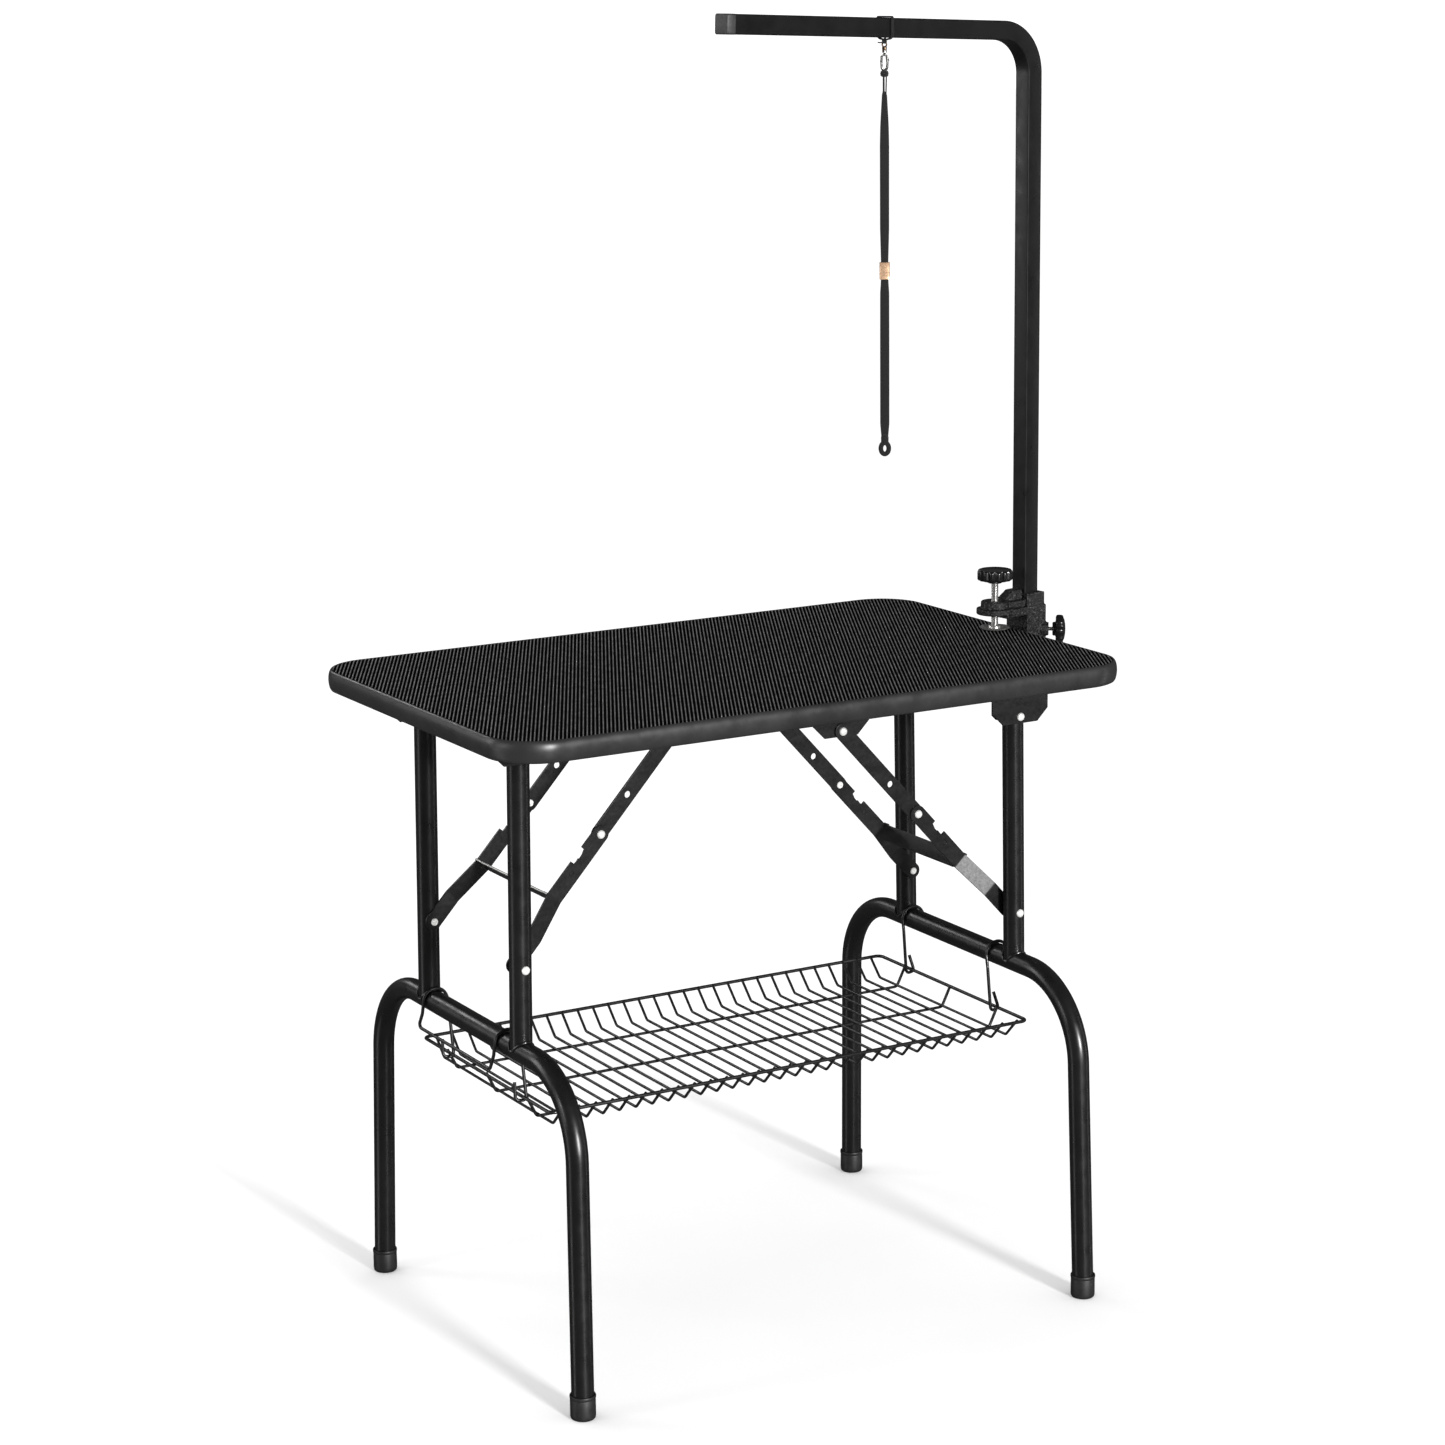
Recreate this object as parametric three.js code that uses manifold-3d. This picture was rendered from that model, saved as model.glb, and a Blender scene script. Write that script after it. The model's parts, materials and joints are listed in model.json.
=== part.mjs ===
// Folding grooming table with a clamp-on arm, a hanging noose and a wire basket.
// Millimetres, +Z up, standing on Z = 0. X runs along the tabletop, Y across it.
import * as THREE from "three";
import { mergeVertices } from "three/addons/utils/BufferGeometryUtils.js";
import Module from "manifold-3d";

const wasm = await Module();
wasm.setup();

const GAP = 0.3;
const DEGREE = Math.PI / 180;

// Tabletop
const TOP_LENGTH = 813;
const TOP_WIDTH = 515.6;
const TOP_HEIGHT = 765.9;
const TOP_CORNER_RADIUS = 60;
const TRIM_HEIGHT = 24.9;
const TRIM_LIP = 5;
const MAT_THICKNESS = 2.7;
const UNDERSIDE = TOP_HEIGHT - TRIM_HEIGHT;

// Legs: a bent lower bow with two uprights, hung on pivots under the top
const TUBE_RADIUS = 12.7;
const TUBE_WALL = 1.4;
const PIVOT_X = 328;
const PIVOT_HEIGHT = { right: 687, left: 721 };
const LEG_LEAN = 0.8 * DEGREE;
const UPRIGHT_Y = 118.3;
const BOW_HEIGHT = 383;
const BOW_CORNER_Y = 247.5;
const FOOT_Y = 259.3;
const BOW_BEND_RADIUS = 97;
const FOOT_RADIUS = 15.2;
const FOOT_HEIGHT = 28;
const FOOT_FLOOR = 3.5;

// Braces: an upper and a lower flat link that meet at a riveted elbow
const PIVOT_TO_BRACE_FOOT = 242;
const BRACE_BRACKET_X = 110;
const LINK_WIDTH = 20;
const LINK_THICKNESS = 2.6;
const UPPER_LINK_Y = 84.7;
const LOWER_LINK_Y = 87.7;
const LOWER_LINK_END_Y = 102.6;
const LOWER_BEND = 87;
const LOWER_BEND_END = 37;
const CROSSBAR_EAR = 1.75;
const CROSSBAR_SLOT = 0.35;
const RIVET_SHANK = 3;
const BRACKET_SHEET = 2.4;
const BRACKET_CLEARANCE = 0.8;

// Wire basket and its hangers
const RIM_X = 321;
const RIM_Y = 163;
const RIM_Z = 321;
const RIM_WIRE = 1.9;
const FLOOR_X = 306;
const FLOOR_Y = 140;
const FLOOR_Z = 300;
const FLOOR_WIRE = 1.55;
const CROSS_WIRES = 30;
const LONG_WIRE_Y = [-102, 0, 102];
const HANGER_WIRE = 1.7;
const SPREADER_DROP = { right: 15, left: 32 };

// Clamp, arm and noose, turned a little about the post
const CLAMP_X = 430;
const CLAMP_Y = 4;
const CLAMP_TURN = 9 * DEGREE;
const POST_SIZE = 22.4;
const POST_WALL = 1.5;
const POST_BOTTOM = 690;
const ARM_CORNER_HEIGHT = 1478.3;
const ARM_RISE = 2.2 * DEGREE;
const ARM_LENGTH = 469.4;
const ARM_BEND_RADIUS = 51;
const CAP_LENGTH = 12;
const SCREW_X = -50.5;
const SCREW_RADIUS = 4.4;
const JAW_BOTTOM = 727;
const ARM_PLATE_BOTTOM = 781;
const COLLAR_TOP = 806.6;
const KNOB_BOTTOM = 826;
const LOCK_HEIGHT = 760;
const LOCK_SCREW_RADIUS = 2.5;
const LOCK_SCREW_START = 16.2;
const LOCK_SCREW_END = 40;
const LOCK_COLLAR_RADIUS = 8.4;
const LOCK_ANGLE = -45 * DEGREE;
const NOOSE_X = -229;
const NOOSE_PIVOT_Z = 1462;
const NOOSE_EYE_RADIUS = 3;
const STRAP_TOP = -32.5;
const STRAP_HALF = 6;
const STRAP_THICKNESS = 2.2;
const NOOSE_TURN = -39 * DEGREE;

// The whole object's box is centred on the origin
const LOCK_KNOB_REACH = 478.7;
const CENTRE_X = (LOCK_KNOB_REACH - TOP_LENGTH / 2) / 2;

const paint = (color, roughness, metalness) =>
  new THREE.MeshStandardMaterial({ color, roughness, metalness });
const mattePlywood = paint(0x1c1b1a, 0.8, 0);
const ribbedRubber = paint(0x161616, 0.75, 0);
const trimPlastic = paint(0x2b2b2c, 0.6, 0);
const glossBlack = paint(0x0c0c0d, 0.25, 0.4);
const satinBlack = paint(0x171717, 0.45, 0.5);
const crinkleBlack = paint(0x1d1d1c, 0.8, 0.2);
const brightZinc = paint(0xc8c8c6, 0.25, 1);
const chrome = paint(0xdadada, 0.08, 1);
const blackPlastic = paint(0x101010, 0.3, 0);
const footRubber = paint(0x191919, 0.7, 0);
const blackWire = paint(0x121212, 0.4, 0.3);
const blackNylon = paint(0x0e0e0f, 0.85, 0);
const copper = paint(0xb98b62, 0.3, 1);

// Booleans -------------------------------------------------------------------

function toSolid(geometry) {
  const bare = geometry.clone();
  bare.deleteAttribute("normal");
  bare.deleteAttribute("uv");
  const merged = mergeVertices(bare, 1e-4);
  return new wasm.Manifold(
    new wasm.Mesh({
      numProp: 3,
      vertProperties: merged.attributes.position.array,
      triVerts: new Uint32Array(merged.index.array),
    }),
  );
}

function toGeometry(solid) {
  const mesh = solid.getMesh();
  const geometry = new THREE.BufferGeometry();
  geometry.setAttribute("position", new THREE.BufferAttribute(mesh.vertProperties, 3));
  geometry.setIndex(new THREE.BufferAttribute(mesh.triVerts, 1));
  geometry.computeVertexNormals();
  return geometry;
}

const join = (...parts) => toGeometry(parts.map(toSolid).reduce((sum, part) => sum.add(part)));
const cut = (body, ...tools) =>
  toGeometry(tools.map(toSolid).reduce((rest, tool) => rest.subtract(tool), toSolid(body)));
const overlap = (one, other) => toGeometry(toSolid(one).intersect(toSolid(other)));

// Basic shapes ---------------------------------------------------------------

// A box between two corners.
function block([x0, y0, z0], [x1, y1, z1]) {
  return new THREE.BoxGeometry(x1 - x0, y1 - y0, z1 - z0).translate(
    (x0 + x1) / 2,
    (y0 + y1) / 2,
    (z0 + z1) / 2,
  );
}

// A round bar between two points.
function rod(start, end, radius, sides = 12) {
  const from = new THREE.Vector3(...start);
  const along = new THREE.Vector3(...end).sub(from);
  const turn = new THREE.Quaternion().setFromUnitVectors(
    new THREE.Vector3(0, 1, 0),
    along.clone().normalize(),
  );
  return new THREE.CylinderGeometry(radius, radius, along.length(), sides)
    .applyQuaternion(turn)
    .translate(...from.add(along.multiplyScalar(0.5)).toArray());
}

// An outline in X and Z, extruded in Y from low to high.
function plateXZ(outline, low, high, curveSegments = 6) {
  return new THREE.ExtrudeGeometry(outline, { depth: high - low, bevelEnabled: false, curveSegments })
    .rotateX(Math.PI / 2)
    .translate(0, high, 0);
}

// An outline in X and Y, extruded in Z from low to high.
function plateXY(outline, low, high, curveSegments = 6) {
  return new THREE.ExtrudeGeometry(outline, {
    depth: high - low,
    bevelEnabled: false,
    curveSegments,
  }).translate(0, 0, low);
}

const polygon = (points) => new THREE.Shape(points.map(([x, y]) => new THREE.Vector2(x, y)));

// A profile of [radius, height] points turned about Z.
function turned(profile, sides) {
  const points = profile.map(([radius, height]) => new THREE.Vector2(radius, height));
  return new THREE.LatheGeometry(points, sides).rotateX(Math.PI / 2);
}

function circle(radius, sides) {
  const points = [];
  for (let i = 0; i < sides; i++) {
    const angle = (2 * Math.PI * (i + 0.5)) / sides;
    points.push(new THREE.Vector2(radius * Math.cos(angle), radius * Math.sin(angle)));
  }
  return new THREE.Shape(points);
}

function ring(outer, inner, sides) {
  const shape = circle(outer, sides);
  shape.holes.push(new THREE.Path(circle(inner, sides).getPoints()));
  return shape;
}

// A path through stations, with a section at each one.
class Route extends THREE.Curve {
  constructor(stations) {
    super();
    this.stations = stations;
  }
  getPoint(t) {
    const last = this.stations.length - 1;
    const index = Math.min(Math.floor(t * last + 1e-9), last - 1);
    return this.stations[index].clone().lerp(this.stations[index + 1], t * last - index);
  }
  getPointAt(t) {
    return this.getPoint(t);
  }
  getTangentAt(t) {
    const last = this.stations.length - 1;
    const index = Math.round(t * last);
    const tangent = new THREE.Vector3();
    if (index > 0) {
      tangent.add(this.stations[index].clone().sub(this.stations[index - 1]).normalize());
    }
    if (index < last) {
      tangent.add(this.stations[index + 1].clone().sub(this.stations[index]).normalize());
    }
    return tangent.normalize();
  }
}

// The stations of a path whose inner corners are rounded to a radius.
function rounded(corners, radius, steps) {
  const points = corners.map((corner) => new THREE.Vector3(...corner));
  const stations = [points[0]];
  for (let i = 1; i < points.length - 1; i++) {
    const back = points[i - 1].clone().sub(points[i]).normalize();
    const ahead = points[i + 1].clone().sub(points[i]).normalize();
    const half = back.angleTo(ahead) / 2;
    const reach = radius / Math.tan(half);
    const middle = back.clone().add(ahead).normalize();
    const centre = points[i].clone().addScaledVector(middle, radius / Math.sin(half));
    const from = points[i].clone().addScaledVector(back, reach).sub(centre);
    const to = points[i].clone().addScaledVector(ahead, reach).sub(centre);
    const sweep = from.angleTo(to);
    const axis = from.clone().cross(to).normalize();
    for (let step = 0; step <= steps; step++) {
      stations.push(from.clone().applyAxisAngle(axis, (sweep * step) / steps).add(centre));
    }
  }
  stations.push(points[points.length - 1]);
  return stations;
}

function sweep(section, stations) {
  return new THREE.ExtrudeGeometry(section, {
    steps: stations.length - 1,
    extrudePath: new Route(stations),
    bevelEnabled: false,
  });
}

const wire = (corners, radius, bend, steps, sides = 6) =>
  sweep(circle(radius, sides), rounded(corners, bend, steps));

// A rounded rectangle with its corners' arcs in a given number of steps.
function roundedRectangle(length, width, radius, steps = 8) {
  const points = [];
  for (let corner = 0; corner < 4; corner++) {
    const signX = corner === 0 || corner === 3 ? 1 : -1;
    const signY = corner < 2 ? 1 : -1;
    for (let step = 0; step <= steps; step++) {
      const angle = (corner + step / steps) * (Math.PI / 2);
      points.push([
        signX * (length / 2 - radius) + radius * Math.cos(angle),
        signY * (width / 2 - radius) + radius * Math.sin(angle),
      ]);
    }
  }
  return points;
}

// A slab whose rounded-rectangle outline is drawn in by an inset at each height.
function slab(levels) {
  const outlines = levels.map(([inset, height]) =>
    roundedRectangle(
      TOP_LENGTH - 2 * inset,
      TOP_WIDTH - 2 * inset,
      TOP_CORNER_RADIUS - inset,
    ).map(([x, y]) => [x, y, height]),
  );
  const count = outlines[0].length;
  const faces = [];
  for (let level = 1; level < outlines.length; level++) {
    for (let i = 0; i < count; i++) {
      const low = (level - 1) * count;
      const next = (i + 1) % count;
      faces.push(low + i, low + next, low + count + next);
      faces.push(low + i, low + count + next, low + count + i);
    }
  }
  const flat = outlines[0].map(([x, y]) => new THREE.Vector2(x, y));
  const top = (outlines.length - 1) * count;
  for (const [a, b, c] of THREE.ShapeUtils.triangulateShape(flat, [])) {
    faces.push(a, c, b);
    faces.push(top + a, top + b, top + c);
  }
  const geometry = new THREE.BufferGeometry();
  geometry.setAttribute("position", new THREE.Float32BufferAttribute(outlines.flat(2), 3));
  geometry.setIndex(faces);
  return geometry;
}

// Scene ----------------------------------------------------------------------

const table = new THREE.Group();
table.position.x = -CENTRE_X;

function add(parent, name, geometry, material) {
  const mesh = new THREE.Mesh(geometry, material);
  mesh.name = name;
  parent.add(mesh);
  return mesh;
}

function addTabletop() {
  const board = slab([
    [TRIM_LIP + GAP, UNDERSIDE + 0.5],
    [TRIM_LIP + GAP, TOP_HEIGHT - MAT_THICKNESS - GAP],
  ]);
  add(table, "tabletop_board", board, mattePlywood);
  const mat = slab([
    [TRIM_LIP + GAP, TOP_HEIGHT - MAT_THICKNESS],
    [TRIM_LIP + GAP, TOP_HEIGHT],
  ]);
  add(table, "tabletop_mat", mat, ribbedRubber);
  const outside = slab([
    [4, UNDERSIDE],
    [1.8, UNDERSIDE + 1.5],
    [0.6, UNDERSIDE + 4],
    [0.1, UNDERSIDE + 8],
    [0, UNDERSIDE + 14],
    [0.3, TOP_HEIGHT - 4],
    [1.4, TOP_HEIGHT - 1.5],
    [3.4, TOP_HEIGHT - 0.2],
  ]);
  const inside = slab([
    [TRIM_LIP, UNDERSIDE - 1],
    [TRIM_LIP, TOP_HEIGHT + 1],
  ]);
  add(table, "edge_trim", cut(outside, inside), trimPlastic);
}

// A rivet along Y whose dome faces outwards (-Y on the front side).
function rivet(headY, tailY, sign) {
  const length = Math.abs(headY - tailY);
  const profile = [
    [0, -length],
    [RIVET_SHANK, -length],
    [RIVET_SHANK, 0],
    [5, 0],
    [4.2, 2],
    [0, 3.2],
  ];
  return turned(profile, 8)
    .rotateX(sign > 0 ? -Math.PI / 2 : Math.PI / 2)
    .translate(0, headY, 0);
}

const hole = (x, z, radius, low, high, sides = 8) => rod([x, low, z], [x, high, z], radius, sides);

// A folded steel channel that hangs under the top. Its outer cheek is wide with its lower corners
// cut off, and its inner cheek is narrow.
function legBracket(drop, sign) {
  const half = 39.5;
  const bottom = -8;
  const top = drop - GAP;
  const cheek = (reach, chamfer) =>
    polygon([
      [-reach, top],
      [-reach, Math.min(bottom + chamfer, top - 4)],
      [-reach + chamfer, bottom],
      [reach - chamfer, bottom],
      [reach, Math.min(bottom + chamfer, top - 4)],
      [reach, top],
    ]);
  const wide = cheek(half, 15);
  const narrow = cheek(20, 6);
  const middle = sign * UPRIGHT_Y;
  const inner = TUBE_RADIUS + BRACKET_CLEARANCE;
  const web = block([-half, middle - inner - 1, top - 2.2], [half, middle + inner + 1, top]);
  const near = plateXZ(sign > 0 ? narrow : wide, middle - inner - BRACKET_SHEET, middle - inner);
  const far = plateXZ(sign > 0 ? wide : narrow, middle + inner, middle + inner + BRACKET_SHEET);
  const bore = hole(0, 0, RIVET_SHANK + GAP, middle - 20, middle + 20);
  return cut(join(web, near, far), bore);
}

// The short angle bracket that carries the upper link.
function braceBracket(drop, sign) {
  const half = 38.5;
  const slope = 16;
  const top = drop - GAP;
  const side = polygon([
    [-half, top],
    [-half, Math.min(9, top - 4)],
    [-half + slope, -7],
    [half - slope, -7],
    [half, Math.min(9, top - 4)],
    [half, top],
  ]);
  const outer = UPPER_LINK_Y - 0.6;
  const low = sign > 0 ? outer - BRACKET_SHEET : -outer;
  const plate = plateXZ(side, low, low + BRACKET_SHEET);
  const flange = block(
    [-half, Math.min(sign * (outer - 22), sign * (outer - 1)), top - BRACKET_SHEET],
    [half, Math.max(sign * (outer - 22), sign * (outer - 1)), top],
  );
  return cut(join(flange, plate), hole(0, 0, RIVET_SHANK + GAP, low - 5, low + 8));
}

// A flat link from the origin to (length, 0), round at both ends.
function linkOutline(length) {
  const half = LINK_WIDTH / 2;
  const outline = new THREE.Shape();
  outline.absarc(0, 0, half, Math.PI / 2, (3 * Math.PI) / 2, false);
  outline.absarc(length, 0, half, -Math.PI / 2, Math.PI / 2, false);
  return outline;
}

function upperLink(length, sign) {
  const low = sign > 0 ? UPPER_LINK_Y : -UPPER_LINK_Y - LINK_THICKNESS;
  const high = low + LINK_THICKNESS;
  const blank = plateXZ(linkOutline(length), low, high, 8);
  const pivotHole = hole(0, 0, RIVET_SHANK + GAP, low - 1, high + 1);
  const spareHole = hole(length * 0.64, 0, 4, low - 1, high + 1);
  return cut(blank, pivotHole, spareHole);
}

// The strip between the lower links. A slot at each end, open below, lets the upper link lie flat
// through it when folded, so a small ear over the slot joins the strip to the link.
function crossbar() {
  const half = LINK_WIDTH / 2;
  const ear = half + CROSSBAR_EAR;
  const slotFloor = half + CROSSBAR_SLOT;
  const inner = UPPER_LINK_Y - 0.5;
  const outer = LOWER_LINK_Y + LINK_THICKNESS;
  const oneEnd = [
    [inner - 6, -half],
    [inner - 4, -ear],
    [outer, -ear],
    [outer, 1 - half],
    [LOWER_LINK_Y, 1 - half],
    [LOWER_LINK_Y, -slotFloor],
    [inner, -slotFloor],
    [inner, half],
  ];
  const otherEnd = oneEnd.map(([y, z]) => [-y, z]).reverse();
  return new THREE.ExtrudeGeometry(polygon([...oneEnd, ...otherEnd]), {
    depth: LINK_THICKNESS,
    bevelEnabled: false,
  })
    .rotateX(Math.PI / 2)
    .rotateZ(Math.PI / 2)
    .translate(LOWER_BEND - LINK_THICKNESS, 0, 0);
}

// Both lower links and the strip between them: one bent piece, from the leg's pivot to the elbow.
function lowerBrace(length) {
  const outline = linkOutline(length);
  const arms = [1, -1].map((sign) => {
    const plan = [
      [-LINK_WIDTH / 2, LOWER_LINK_END_Y],
      [LOWER_BEND_END, LOWER_LINK_END_Y],
      [LOWER_BEND, LOWER_LINK_Y],
      [length + LINK_WIDTH / 2, LOWER_LINK_Y],
      [length + LINK_WIDTH / 2, LOWER_LINK_Y + LINK_THICKNESS],
      [LOWER_BEND, LOWER_LINK_Y + LINK_THICKNESS],
      [LOWER_BEND_END, LOWER_LINK_END_Y + LINK_THICKNESS],
      [-LINK_WIDTH / 2, LOWER_LINK_END_Y + LINK_THICKNESS],
    ].map(([x, y]) => [x, sign * y]);
    const strip = plateXY(polygon(sign > 0 ? plan : plan.reverse()), -LINK_WIDTH, LINK_WIDTH);
    const edge = sign * (LOWER_LINK_Y + 9);
    const low = Math.min(edge - 12, edge + 12);
    const bar = plateXZ(outline, low, low + 24, 8);
    const notch = block([length - 45, low, -12], [length - 25, low + 24, -5]);
    return cut(
      overlap(strip, bar),
      notch,
      hole(0, 0, RIVET_SHANK + GAP, low, low + 24),
      hole(length, 0, RIVET_SHANK + GAP, low, low + 24),
      hole(length - 55, -1, 2.6, low, low + 24, 8),
    );
  });
  return join(arms[0], crossbar(), arms[1]);
}

// One bent tube that stands on both feet of an end.
function legBow(bowZ, footZ) {
  const corners = [
    [0, -FOOT_Y, footZ],
    [0, -BOW_CORNER_Y, bowZ],
    [0, BOW_CORNER_Y, bowZ],
    [0, FOOT_Y, footZ],
  ];
  return sweep(ring(TUBE_RADIUS, TUBE_RADIUS - TUBE_WALL, 12), rounded(corners, BOW_BEND_RADIUS, 8));
}

// A straight tube whose lower end is coped round the bow.
function upright(bowZ, topZ, sign) {
  const tube = plateXY(ring(TUBE_RADIUS, TUBE_RADIUS - TUBE_WALL, 12), bowZ + 2, topZ);
  const bowTube = rod([0, -40, bowZ], [0, 40, bowZ], TUBE_RADIUS + GAP, 16);
  const pivotHole = hole(0, 0, RIVET_SHANK + GAP, -20, 20);
  const braceHole = hole(0, -PIVOT_TO_BRACE_FOOT, RIVET_SHANK + GAP, -20, 20);
  return cut(tube, bowTube, pivotHole, braceHole).translate(0, sign * UPRIGHT_Y, 0);
}

function foot() {
  const profile = [
    [0, 0],
    [FOOT_RADIUS - 3.2, 0],
    [FOOT_RADIUS - 1, 0.9],
    [FOOT_RADIUS, 3.2],
    [FOOT_RADIUS, FOOT_HEIGHT - 3],
    [FOOT_RADIUS + 0.4, FOOT_HEIGHT - 2.4],
    [FOOT_RADIUS + 0.4, FOOT_HEIGHT],
    [TUBE_RADIUS + 1.1, FOOT_HEIGHT],
    [TUBE_RADIUS + 1.1, FOOT_FLOOR - GAP],
    [0, FOOT_FLOOR - GAP],
  ];
  return turned(profile, 12);
}

// A wire that hooks over the bow at two places and passes under the basket's end rim.
// Its points are in the frame of an end: X outwards from the middle of the table.
function hanger(side, spreaderDrop) {
  const tubeX = PIVOT_X + Math.tan(LEG_LEAN) * (PIVOT_HEIGHT.right - BOW_HEIGHT);
  const bend = TUBE_RADIUS + HANGER_WIRE + 1;
  const inner = tubeX - bend;
  const outer = tubeX + bend;
  const footZ = RIM_Z - RIM_WIRE - HANGER_WIRE - 1.2;
  const lean = spreaderDrop / SPREADER_DROP.left;
  const hooks = [
    { tube: side * 103.5, rim: side * 93, shift: side * 13.5 * lean },
    { tube: side * -82, rim: side * -94, shift: side * 12 * lean },
  ];
  const [first, second] = hooks.map(({ tube, rim, shift }) => [
    [RIM_X + 7, rim, footZ + 0.6],
    [inner - 1.5, rim, footZ],
    [inner - 0.5, rim + (tube - rim) * 0.7, BOW_HEIGHT - 14],
    ...arc(tubeX, BOW_HEIGHT, bend, tube),
    [outer, tube + shift * 0.3, BOW_HEIGHT - spreaderDrop * 0.44],
    [outer + 1, tube + shift, BOW_HEIGHT - spreaderDrop],
  ]);
  return sweep(
    circle(HANGER_WIRE, 6),
    [...first, ...second.reverse()].map((point) => new THREE.Vector3(...point)),
  );
}

// Points over a tube along Y, from its inner side to its outer side.
function arc(x, z, radius, y, steps = 8) {
  const points = [];
  for (let step = 0; step <= steps; step++) {
    const angle = Math.PI * (1 - step / steps);
    points.push([x + radius * Math.cos(angle), y, z + radius * Math.sin(angle)]);
  }
  return points;
}

// One end of the table. It is built for the right-hand end, and turned half round for the left.
function addEnd(name, side) {
  const pivotZ = PIVOT_HEIGHT[name];
  const drop = UNDERSIDE - pivotZ;
  const end = new THREE.Group();
  end.rotation.z = side > 0 ? 0 : Math.PI;
  table.add(end);

  const leg = new THREE.Group();
  leg.position.set(PIVOT_X, 0, pivotZ);
  leg.rotation.y = -LEG_LEAN;
  end.add(leg);
  const bowZ = -(pivotZ - BOW_HEIGHT) / Math.cos(LEG_LEAN);
  const footZ = -(pivotZ - FOOT_FLOOR - GAP) / Math.cos(LEG_LEAN);
  add(leg, `${name}_leg_bow`, legBow(bowZ, footZ), glossBlack);

  const braceFoot = new THREE.Vector3(0, 0, -PIVOT_TO_BRACE_FOOT)
    .applyAxisAngle(new THREE.Vector3(0, 1, 0), -LEG_LEAN)
    .add(leg.position);
  const bracePivot = new THREE.Vector3(BRACE_BRACKET_X, 0, pivotZ);
  const span = bracePivot.distanceTo(braceFoot);
  const offset = PIVOT_TO_BRACE_FOOT - (PIVOT_X - BRACE_BRACKET_X);
  const lowerLength = (span + offset) / 2;
  const upperLength = (span - offset) / 2;
  const slope = Math.atan2(bracePivot.z - braceFoot.z, braceFoot.x - bracePivot.x);

  const upper = new THREE.Group();
  upper.position.copy(bracePivot);
  upper.rotation.y = slope;
  end.add(upper);
  const lower = new THREE.Group();
  lower.position.copy(braceFoot);
  lower.rotation.y = Math.PI + slope;
  end.add(lower);
  add(lower, `${name}_lower_brace`, lowerBrace(lowerLength), satinBlack);

  for (const sign of [-1, 1]) {
    const place = sign * side < 0 ? "front" : "back";
    const label = `${name}_${place}`;
    const bracket = add(end, `${label}_leg_bracket`, legBracket(drop, sign), satinBlack);
    bracket.position.set(PIVOT_X, 0, pivotZ);
    const angle = add(end, `${label}_brace_bracket`, braceBracket(drop, sign), satinBlack);
    angle.position.copy(bracePivot);

    const cheekFace = TUBE_RADIUS + BRACKET_CLEARANCE + BRACKET_SHEET;
    const outerPlate = sign * (UPRIGHT_Y + cheekFace + 0.2);
    const innerPlate = sign * (UPRIGHT_Y - cheekFace - 1);
    const legRivet = add(end, `${label}_leg_pivot_rivet`, rivet(outerPlate, innerPlate, sign), brightZinc);
    legRivet.position.copy(leg.position);

    const upperFace = sign * (UPPER_LINK_Y + LINK_THICKNESS + 0.2);
    const upperTail = sign * (UPPER_LINK_Y - 4);
    const topRivet = add(end, `${label}_brace_pivot_rivet`, rivet(upperFace, upperTail, sign), brightZinc);
    topRivet.position.copy(bracePivot);

    add(upper, `${label}_upper_link`, upperLink(upperLength, sign), satinBlack);

    const lowerFace = sign * (LOWER_LINK_Y + LINK_THICKNESS + 0.2);
    const lowerTail = sign * (LOWER_LINK_Y + 0.2);
    const elbow = add(lower, `${label}_elbow_rivet`, rivet(lowerFace, lowerTail, sign), brightZinc);
    elbow.position.x = lowerLength;

    add(leg, `${label}_upright`, upright(bowZ, Math.min(12, drop - 16), sign), glossBlack);
    const tubeFace = sign * (UPRIGHT_Y + TUBE_RADIUS + 0.3);
    const linkFace = sign * (LOWER_LINK_END_Y - 1);
    const legMount = add(leg, `${label}_brace_foot_rivet`, rivet(tubeFace, linkFace, sign), brightZinc);
    legMount.position.z = -PIVOT_TO_BRACE_FOOT;

    const cap = add(end, `${label}_foot`, foot(), footRubber);
    const floorX = PIVOT_X + Math.tan(LEG_LEAN) * (pivotZ - FOOT_HEIGHT / 2);
    const floorY = sign * (FOOT_Y - 0.4);
    cap.position.set(floorX, floorY, 0);
  }
  add(end, `${name}_basket_hanger`, hanger(side, SPREADER_DROP[name]), blackWire);
}

function addBasket() {
  const cornerRadius = 8;
  const overlapLength = 1;
  const parts = [];
  for (const [signX, signY] of [[1, 1], [1, -1], [-1, 1], [-1, -1]]) {
    const quarter = [
      [0, signY * RIM_Y, RIM_Z],
      [signX * RIM_X, signY * RIM_Y, RIM_Z],
      [signX * RIM_X, -signY * overlapLength, RIM_Z],
    ];
    parts.push(wire(quarter, RIM_WIRE, cornerRadius, 3));
  }
  const pitch = (2 * FLOOR_X) / (CROSS_WIRES - 1);
  for (let i = 0; i < CROSS_WIRES; i++) {
    const x = -FLOOR_X + i * pitch;
    const corners = [
      [x, -RIM_Y + 0.6, RIM_Z],
      [x, -FLOOR_Y, FLOOR_Z],
      [x, FLOOR_Y, FLOOR_Z],
      [x, RIM_Y - 0.6, RIM_Z],
    ];
    parts.push(sweep(circle(FLOOR_WIRE, 4), corners.map((point) => new THREE.Vector3(...point))));
  }
  for (const y of LONG_WIRE_Y) {
    const low = FLOOR_Z - 2.4;
    const corners = [
      [-RIM_X + 0.6, y, RIM_Z],
      [-FLOOR_X - 1, y, low],
      [FLOOR_X + 1, y, low],
      [RIM_X - 0.6, y, RIM_Z],
    ];
    parts.push(sweep(circle(FLOOR_WIRE + 0.15, 4), corners.map((point) => new THREE.Vector3(...point))));
  }
  add(table, "basket_tray", join(...parts), blackWire);
}

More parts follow.
